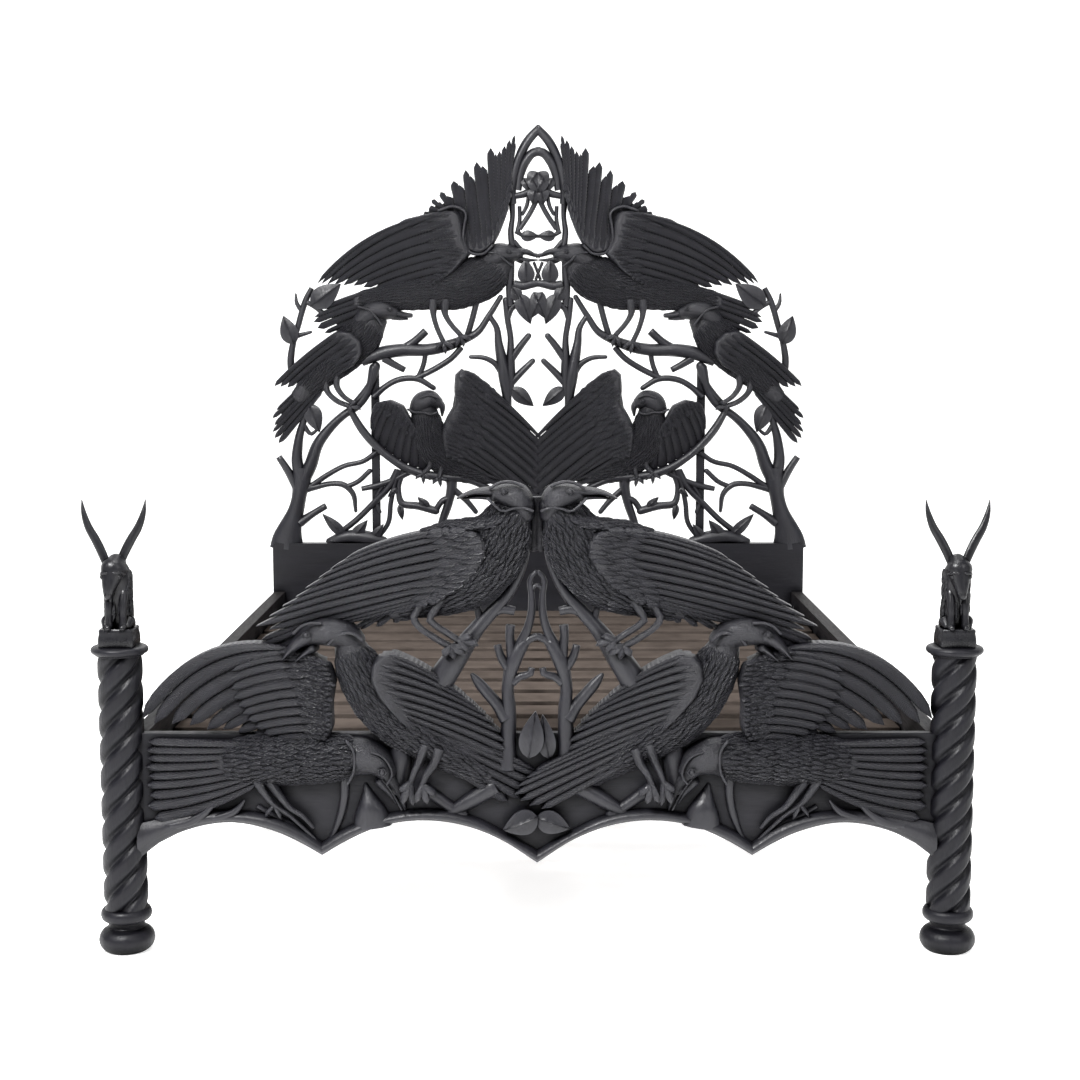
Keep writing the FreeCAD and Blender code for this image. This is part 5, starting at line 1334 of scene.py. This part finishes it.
BEAST_HEAD = (((0, 0.2, 0, 0.134, 0.020), (0, 0.4, 0.006, 0.126, 0.027), (0, 0.7, 0.013, 0.111, 0.025),
               (0, 1, 0.022, 0.095, 0.018), (0, 1.2, 0.029, 0.080, 0.0125), (0, 1.3, 0.032, 0.070, 0.009)),
              16)
BEAST_BEARD = (((0, 1.1, 0.022, 0.078, 0.0085), (0, 1.1, 0.023, 0.066, 0.006),
                (0, 1, 0.022, 0.052, 0.0014)), 10)
BEAST_BROW = (((0.007, 0.7, 0.034, 0.117, 0.0030), (0.017, 0.7, 0.029, 0.1165, 0.0040),
               (0.024, 0.6, 0.018, 0.112, 0.0026)), 8)
BEAST_CHEEK = (0.0175, 0.8, 0.026, 0.108, 0.0050)
BEAST_NOSTRIL = (0.0052, 1.3, 0.0395, 0.0725, 0.0022)
PLINTH_CORNERS = ((-1, -0.9), (-0.9, -1), (0.9, -1), (1, -0.9), (1, 0.9), (0.9, 1), (-0.9, 1), (-1, 0.9))
PLINTH_PROFILE = ((0.036, COLLAR_TOP), (0.037, COLLAR_TOP + 0.004), (0.0365, COLLAR_TOP + 0.018),
                  (0.0345, COLLAR_TOP + 0.030), (0.0350, PLINTH_TOP - 0.003), (0.0335, PLINTH_TOP))


def beast(carving, x, lean):
    """A seated horned beast: plinth, haunches, chest, forelegs, bowed head, beard, coat and horns."""
    def at(px, fy, pz):
        return Vector((x + px, POST_Y - fy, PLINTH_TOP + pz))

    def form(stations, corners, side=1):
        rows = spline([(side * a + lean * b, f, z, r) for a, b, f, z, r in stations], FORM_STATIONS, 3)
        carving.bar([at(*r[:3]) for r in rows], [r[3] for r in rows], None, corners, "round", "round", 0.02)

    def bulb(station, side):
        a, b, f, z, r = station
        carving.ball(at(side * a + lean * b, f, z), r)

    carving.loft([[Vector((x + sx * w, POST_Y + sy * w, z)) for sx, sy in PLINTH_CORNERS]
                  for w, z in PLINTH_PROFILE])
    form(*BEAST_BODY)
    for side in (-1, 1):
        for limb in BEAST_LIMBS:
            form(*limb, side)
    form(*BEAST_HEAD)
    form(*BEAST_BEARD)
    for side in (-1, 1):
        bulb(BEAST_CHEEK, side)
        form(*BEAST_BROW, side)
        bulb(BEAST_NOSTRIL, side)
    dice = random.Random(7)
    for k in range(COAT_LOCKS):
        a = math.pi * (-0.15 + 1.3 * dice.random())
        z = COAT_TOP - COAT_HEIGHT * dice.random()
        spots, normals = [], []
        for j in range(len(LOCK_STEPS)):
            b = a + 0.03 * j
            normal = Vector((math.cos(b), -math.sin(b), 0.0))
            spots.append(at(0, -0.004, z - COAT_LOCK_DROP * j) + normal * (COAT_RADIUS + 0.0004 * j))
            normals.append(normal)
        if not (0.25 < a / math.pi < 0.75 and z > BARE_FACE_HEIGHT):
            carving.lock(spots, normals, *COAT_LOCK_SIZE)
    spread = sizes().horn_spread
    rows = spline(((0.013, 0.130, 0.0086), (0.022, 0.152, 0.0094), (0.036, 0.180, 0.0094),
                   (spread - 0.012, 0.208, 0.0082), (spread - 0.002, 0.238, 0.0052),
                   (spread + 0.002, 0.264, 0.0006)), HORN_STATIONS, 3)
    for side in (-1, 1):
        centres = [at(side * r[0] + 0.9 * lean, -0.002 - HORN_BEND * k, r[1]) for k, r in enumerate(rows)]
        carving.bar(centres, [max(r[2], 0.0005) for r in rows], HORN_DEPTH, 12, "flat", "flat", 0.0)


def scallop(carving, low_path, high_path, mirror):
    """The moulding over one scallop, from its lower edge to its upper edge."""
    rings = []
    for a, b in zip(spline(low_path, APRON_STATIONS), spline(high_path, APRON_STATIONS)):
        bottom, top = FOOT.at(a[0], a[1]), FOOT.at(a[0], b[1])
        ring = []
        for k in range(APRON_STEPS + 1):
            t = k / APRON_STEPS
            bulge = math.sin(math.pi * (0.04 + 0.92 * t)) ** 0.7
            groove = math.exp(-((t - APRON_GROOVE_PLACE) / APRON_GROOVE_WIDTH) ** 2)
            out = APRON_LEAST + APRON_BULGE * bulge - APRON_GROOVE * groove
            ring.append(Vector((mirror * bottom.x, PANEL_FRONT - out, bottom.z + (top.z - bottom.z) * t)))
        for z in (top.z, bottom.z):
            ring.append(Vector((mirror * bottom.x, PANEL_FRONT + APRON_SET_IN, z)))
        rings.append(ring)
    carving.loft(rings)


def place_pair(name, left, right, finish):
    """A left piece, and a right one that is mirrored."""
    for side, carving, mirrored in (("_left", left, False), ("_right", right, True)):
        carving.piece(name + side + "_carved", (name + side,), finish, "carved_black", mirrored)


def raven_pair(name, plane, bird, seed, other=None):
    """A raven and its mirror image; other is the right bird's drawing where it differs."""
    left = raven(plane, bird, seed)
    place_pair(name, left, raven(plane, other, seed) if other else left, "feathers")


def branches(plane, paths, leaves, depth, thick=0.009):
    """A carving of branches, each with its own kind of end, and of leaves."""
    carving = Carving()
    for path, end in paths:
        carving.limb(plane, path, depth, 12, "flat", end)
    for stem, tip, width, out in leaves:
        carving.leaf(plane, stem, tip, width, out * MM, thick)
    return carving


def branch_pair(name, plane, paths, leaves, depth):
    """The left piece of branches and its mirror image on the right."""
    carving = branches(plane, paths, leaves, depth)
    place_pair(name, carving, carving, "branches")


def middle_piece(name, paths, leaves, depth):
    """A piece over the middle: a half and its mirror image in one object."""
    half = branches(HEAD, paths, leaves, depth)
    count = len(half.points)
    half.points += [(-x, y, z) for x, y, z in half.points]
    half.grain += half.grain[:count]
    half.faces += [tuple(count + i for i in reversed(face)) for face in half.faces]
    half.piece(name + "_carved", (name,), "branches", "carved_black")


# Sizes and colours that a user would change

class CarvedBedSizes(bpy.types.PropertyGroup):
    twist_depth: bpy.props.FloatProperty(
        name="Twist depth", description="How deep the grooves of the twisted posts are", default=0.009,
        min=0.0, max=0.02, unit="LENGTH")
    twist_lead: bpy.props.FloatProperty(
        name="Twist lead", description="The height in which the twist turns once", default=0.236,
        min=0.1, max=0.6, unit="LENGTH")
    arris: bpy.props.FloatProperty(
        name="Arris", description="How far the boards' edges are eased", default=0.0025, min=0.0005,
        max=0.01, unit="LENGTH")
    horn_spread: bpy.props.FloatProperty(
        name="Horn spread", description="How far a horn's tip stands to the side", default=0.064,
        min=0.02, max=0.066, unit="LENGTH")
    limb_depth: bpy.props.FloatProperty(
        name="Limb depth", description="The most that a branch stands out of its middle", default=0.026,
        min=0.01, max=0.04, unit="LENGTH")


class CarvedBedColours(bpy.types.PropertyGroup):
    stain: bpy.props.FloatVectorProperty(
        name="Stain", description="The black stain of the carving", size=3, default=(0.0080, 0.0078, 0.0108),
        min=0.0, max=1.0, subtype="COLOR")
    # Worn edges: the colour of wear on raised edges, which also paints a sheen there
    worn: bpy.props.FloatVectorProperty(
        name="Worn edges", description="The colour where handling has thinned the stain", size=3,
        default=(0.042, 0.042, 0.050), min=0.0, max=1.0, subtype="COLOR")
    slats: bpy.props.FloatVectorProperty(
        name="Slats", description="The brown stain of the slats", size=3, default=(0.075, 0.061, 0.053),
        min=0.0, max=1.0, subtype="COLOR")
    floor: bpy.props.FloatVectorProperty(
        name="Floor", description="The pale floor", size=3, default=(0.93, 0.93, 0.93), min=0.0, max=1.0,
        subtype="COLOR")


# The pieces

class CARVEDBED_OT_boards(bpy.types.Operator):
    """Foot panel, headboard board, legs, uprights, ledgers, beam and rails with eased arrises"""
    bl_idname = "carvedbed.boards"
    bl_label = "Boards and beam"

    def execute(self, context):
        for nodes, finish, slot in (
                (("foot_panel", "headboard_lower_board", "head_leg_left", "head_leg_right",
                  "headboard_upright_left", "headboard_upright_right"), "boards", "board_black"),
                (("centre_beam", "beam_legs", "beam_cleats", "slat_ledger_left", "slat_ledger_right"),
                 "plain", "plain_wood"),
                (("side_rail_left", "side_rail_right"), "rails", "rail_black")):
            for node in nodes:
                eased_copy(node, node + "_eased", finish, sizes().arris)
        return {"FINISHED"}


class CARVEDBED_OT_slats(bpy.types.Operator):
    """Brown stained slats with eased arrises"""
    bl_idname = "carvedbed.slats"
    bl_label = "Slats"

    def execute(self, context):
        eased_copy("slats", "slats_eased", "slats", sizes().arris)
        return {"FINISHED"}


class CARVEDBED_OT_posts(bpy.types.Operator):
    """Twisted foot posts with their rings, and the bun feet"""
    bl_idname = "carvedbed.posts"
    bl_label = "Posts and bun feet"

    def execute(self, context):
        for side, x in zip(SIDES, (-POST_X, POST_X)):
            post, foot = Carving(), Carving()
            twist(post, x)
            lathe(post, x, LOWER_RING)
            lathe(post, x, COLLAR)
            lathe(foot, x, BUN_FOOT)
            for carving, name in ((post, "twisted_post_" + side), (foot, "bun_foot_" + side)):
                carving.piece(name + "_turned", (name,), "turned", "turned_black")
        return {"FINISHED"}


class CARVEDBED_OT_finials(bpy.types.Operator):
    """Seated horned beasts on the post tops"""
    bl_idname = "carvedbed.finials"
    bl_label = "Finials"

    def execute(self, context):
        for side, x, lean in zip(SIDES, (-POST_X, POST_X), (-0.010, 0.004)):
            carving = Carving()
            beast(carving, x, lean)
            carving.piece("finial_" + side + "_carved", ("finial_" + side,), "finials", "finial_black")
        return {"FINISHED"}


class CARVEDBED_OT_apron(bpy.types.Operator):
    """The rounded moulding that follows the scallops of the apron"""
    bl_idname = "carvedbed.apron"
    bl_label = "Apron moulding"

    def execute(self, context):
        carving = Carving()
        for low_path, high_path in zip(SCALLOP_LOW, SCALLOP_HIGH):
            for mirror in (1, -1):
                scallop(carving, low_path, high_path, mirror)
        carving.piece("apron_moulding", ("apron_rail",), "branches", "carved_black", sharp=40.0)
        return {"FINISHED"}


class CARVEDBED_OT_foot_ravens(bpy.types.Operator):
    """The six ravens of the foot end"""
    bl_idname = "carvedbed.foot_ravens"
    bl_label = "Ravens of the foot end"

    def execute(self, context):
        raven_pair("foot_upper_raven", FOOT, UPPER_FOOT_RAVEN, 11)
        crossing = dict(LOWER_FOOT_RAVEN, fans=(CROSSING_TAIL, LOWER_FOOT_RAVEN["fans"][1]))
        raven_pair("foot_lower_raven", FOOT, LOWER_FOOT_RAVEN, 12, crossing)
        raven_pair("foot_flying_raven", FOOT, FLYING_FOOT_RAVEN, 13)
        return {"FINISHED"}


class CARVEDBED_OT_head_ravens(bpy.types.Operator):
    """The six ravens of the headboard"""
    bl_idname = "carvedbed.head_ravens"
    bl_label = "Ravens of the headboard"

    def execute(self, context):
        raven_pair("top_raven", HEAD, TOP_RAVEN, 21)
        raven_pair("side_raven", HEAD, SIDE_RAVEN, 22)
        raven_pair("spread_raven", HEAD, SPREAD_RAVEN, 23)
        return {"FINISHED"}


class CARVEDBED_OT_foot_branches(bpy.types.Operator):
    """Branches, stumps and leaves of the foot end"""
    bl_idname = "carvedbed.foot_branches"
    bl_label = "Branches of the foot end"

    def execute(self, context):
        depth = sizes().limb_depth
        branch_pair("foot_limb", FOOT, FOOT_LIMB, (), depth)
        branch_pair("foot_trunk", FOOT, FOOT_TRUNK, (), depth)
        branch_pair("apron_branches", FOOT, APRON_BRANCHES, (), depth)
        for name, leaves in (("foot_upper_leaves", FOOT_UPPER_LEAVES),
                             ("foot_lower_leaves", FOOT_LOWER_LEAVES)):
            carving = branches(FOOT, (), leaves, depth, 0.010)
            carving.piece(name + "_carved", (name,), "branches", "carved_black")
        return {"FINISHED"}


class CARVEDBED_OT_head_branches(bpy.types.Operator):
    """Trees, branches, twigs and leaves of the headboard"""
    bl_idname = "carvedbed.head_branches"
    bl_label = "Branches of the headboard"

    def execute(self, context):
        depth = sizes().limb_depth * HEAD_DEPTH_SHARE
        branch_pair("tree", HEAD, TREE, TREE_LEAVES, depth)
        branch_pair("perch_branch", HEAD, PERCH, (), depth)
        branch_pair("undergrowth", HEAD, UNDERGROWTH, UNDERGROWTH_LEAVES, depth)
        branch_pair("side_twig", HEAD, SIDE_TWIG, SIDE_TWIG_LEAVES, depth)
        branch_pair("centre_trunk", HEAD, CENTRE_TRUNK, CENTRE_TRUNK_LEAVES, depth)
        middle_piece("arch", ARCH, (), depth)
        middle_piece("crown_leaves", CROWN, CROWN_LEAVES, depth)
        middle_piece("centre_leaves", HEART, HEART_LEAVES, depth)
        return {"FINISHED"}


class CARVEDBED_OT_fittings(bpy.types.Operator):
    """Bolts, cross nuts and corner brackets in their finish, and the finials' dowels"""
    bl_idname = "carvedbed.fittings"
    bl_label = "Fittings"

    def execute(self, context):
        for node in ("bed_bolts", "barrel_nuts", "corner_brackets"):
            eased_copy(node, node + "_plated", "steel", 0.0006)
        eased_copy("finial_dowels", "finial_dowels_wood", "plain", 0.0008)
        return {"FINISHED"}


def studio_floor():
    """The floor and the wall behind it, in one sweep."""
    mesh = bpy.data.meshes.new("studio_floor")
    turns = [k * math.pi / (2 * SWEEP_STEPS) for k in range(1, SWEEP_STEPS + 1)]
    sweep = [(-FLOOR_REACH, 0.0), (SWEEP_START, 0.0)]
    sweep += [(SWEEP_START + SWEEP_RADIUS * math.sin(a), SWEEP_RADIUS - SWEEP_RADIUS * math.cos(a))
              for a in turns]
    sweep += [(SWEEP_START + SWEEP_RADIUS, WALL_TOP)]
    mesh.from_pydata([(x, y, z) for y, z in sweep for x in (-FLOOR_REACH, FLOOR_REACH)], [],
                     [(2 * k, 2 * k + 1, 2 * k + 3, 2 * k + 2) for k in range(len(sweep) - 1)])
    mesh.polygons.foreach_set("use_smooth", [True] * len(mesh.polygons))
    paper, _, surface = new_material("pale_floor")
    for label, value in (("Base Color", (*colours().floor, 1.0)), ("Roughness", 0.9),
                         ("Specular IOR Level", 0.1), ("Emission Color", (1.0, 1.0, 1.0, 1.0)),
                         ("Emission Strength", FLOOR_GLOW)):
        surface.inputs[label].default_value = value
    mesh.materials.append(paper)
    return bpy.data.objects.new("studio_floor", mesh)


class CARVEDBED_OT_stage(bpy.types.Operator):
    """Pale floor, soft studio light and the camera"""
    bl_idname = "carvedbed.stage"
    bl_label = "Studio"

    def execute(self, context):
        scene = bpy.context.scene
        floor = studio_floor()
        scene.collection.objects.link(floor)
        world = bpy.data.worlds.new("studio_air")
        scene.world = world
        world.use_nodes = True
        air = world.node_tree.nodes["Background"].inputs
        air["Color"].default_value = (1.0, 1.0, 1.0, 1.0)
        air["Strength"].default_value = AIR_STRENGTH
        for name, place, aim, size, power in LIGHTS:
            lamp = bpy.data.lights.new(name, "AREA")
            lamp.shape = "DISK"
            lamp.size = size
            lamp.energy = power
            holder = bpy.data.objects.new(name, lamp)
            holder.location = place
            holder.rotation_euler = (Vector(aim) - Vector(place)).to_track_quat("-Z", "Y").to_euler()
            scene.collection.objects.link(holder)
        lens = bpy.data.cameras.new("front_camera")
        lens.sensor_width = SENSOR_MM
        lens.lens = SENSOR_MM * FOCAL_PX / PICTURE_PX
        camera = bpy.data.objects.new("front_camera", lens)
        camera.location = (EYE_ASIDE, -EYE_BACK, EYE_HEIGHT)
        camera.rotation_euler = (math.pi / 2 - math.atan(TILT_SHARE), 0.0, 0.0)
        scene.collection.objects.link(camera)
        scene.camera = camera
        scene.view_settings.view_transform = "Standard"
        return {"FINISHED"}


PIECE_OPERATORS = (
    CARVEDBED_OT_boards, CARVEDBED_OT_slats, CARVEDBED_OT_posts, CARVEDBED_OT_finials, CARVEDBED_OT_apron,
    CARVEDBED_OT_foot_ravens, CARVEDBED_OT_head_ravens, CARVEDBED_OT_foot_branches,
    CARVEDBED_OT_head_branches, CARVEDBED_OT_fittings, CARVEDBED_OT_stage,
)


class CARVEDBED_PT_panel(bpy.types.Panel):
    """Lists the pieces of the carved bed with their sizes and colours"""
    bl_idname = "CARVEDBED_PT_panel"
    bl_label = "Carved Bed"
    bl_space_type = "VIEW_3D"
    bl_region_type = "UI"
    bl_category = "Carved Bed"

    def draw(self, context):
        layout = self.layout
        for group in (context.scene.carved_bed_sizes, context.scene.carved_bed_colours):
            for label in group.__annotations__:
                layout.prop(group, label)
        for operator in PIECE_OPERATORS:
            layout.operator(operator.bl_idname)


CLASSES = (CarvedBedSizes, CarvedBedColours) + PIECE_OPERATORS + (CARVEDBED_PT_panel,)


def register():
    for cls in CLASSES:
        bpy.utils.register_class(cls)
    bpy.types.Scene.carved_bed_sizes = bpy.props.PointerProperty(type=CarvedBedSizes)
    bpy.types.Scene.carved_bed_colours = bpy.props.PointerProperty(type=CarvedBedColours)


def unregister():
    del bpy.types.Scene.carved_bed_colours
    del bpy.types.Scene.carved_bed_sizes
    for cls in reversed(CLASSES):
        bpy.utils.unregister_class(cls)


def main():
    register()
    bpy.ops.carvedbed.boards()
    bpy.ops.carvedbed.slats()
    bpy.ops.carvedbed.posts()
    bpy.ops.carvedbed.finials()
    bpy.ops.carvedbed.apron()
    bpy.ops.carvedbed.foot_ravens()
    bpy.ops.carvedbed.head_ravens()
    bpy.ops.carvedbed.foot_branches()
    bpy.ops.carvedbed.head_branches()
    bpy.ops.carvedbed.fittings()
    bpy.ops.carvedbed.stage()


if __name__ == "__main__":
    main()
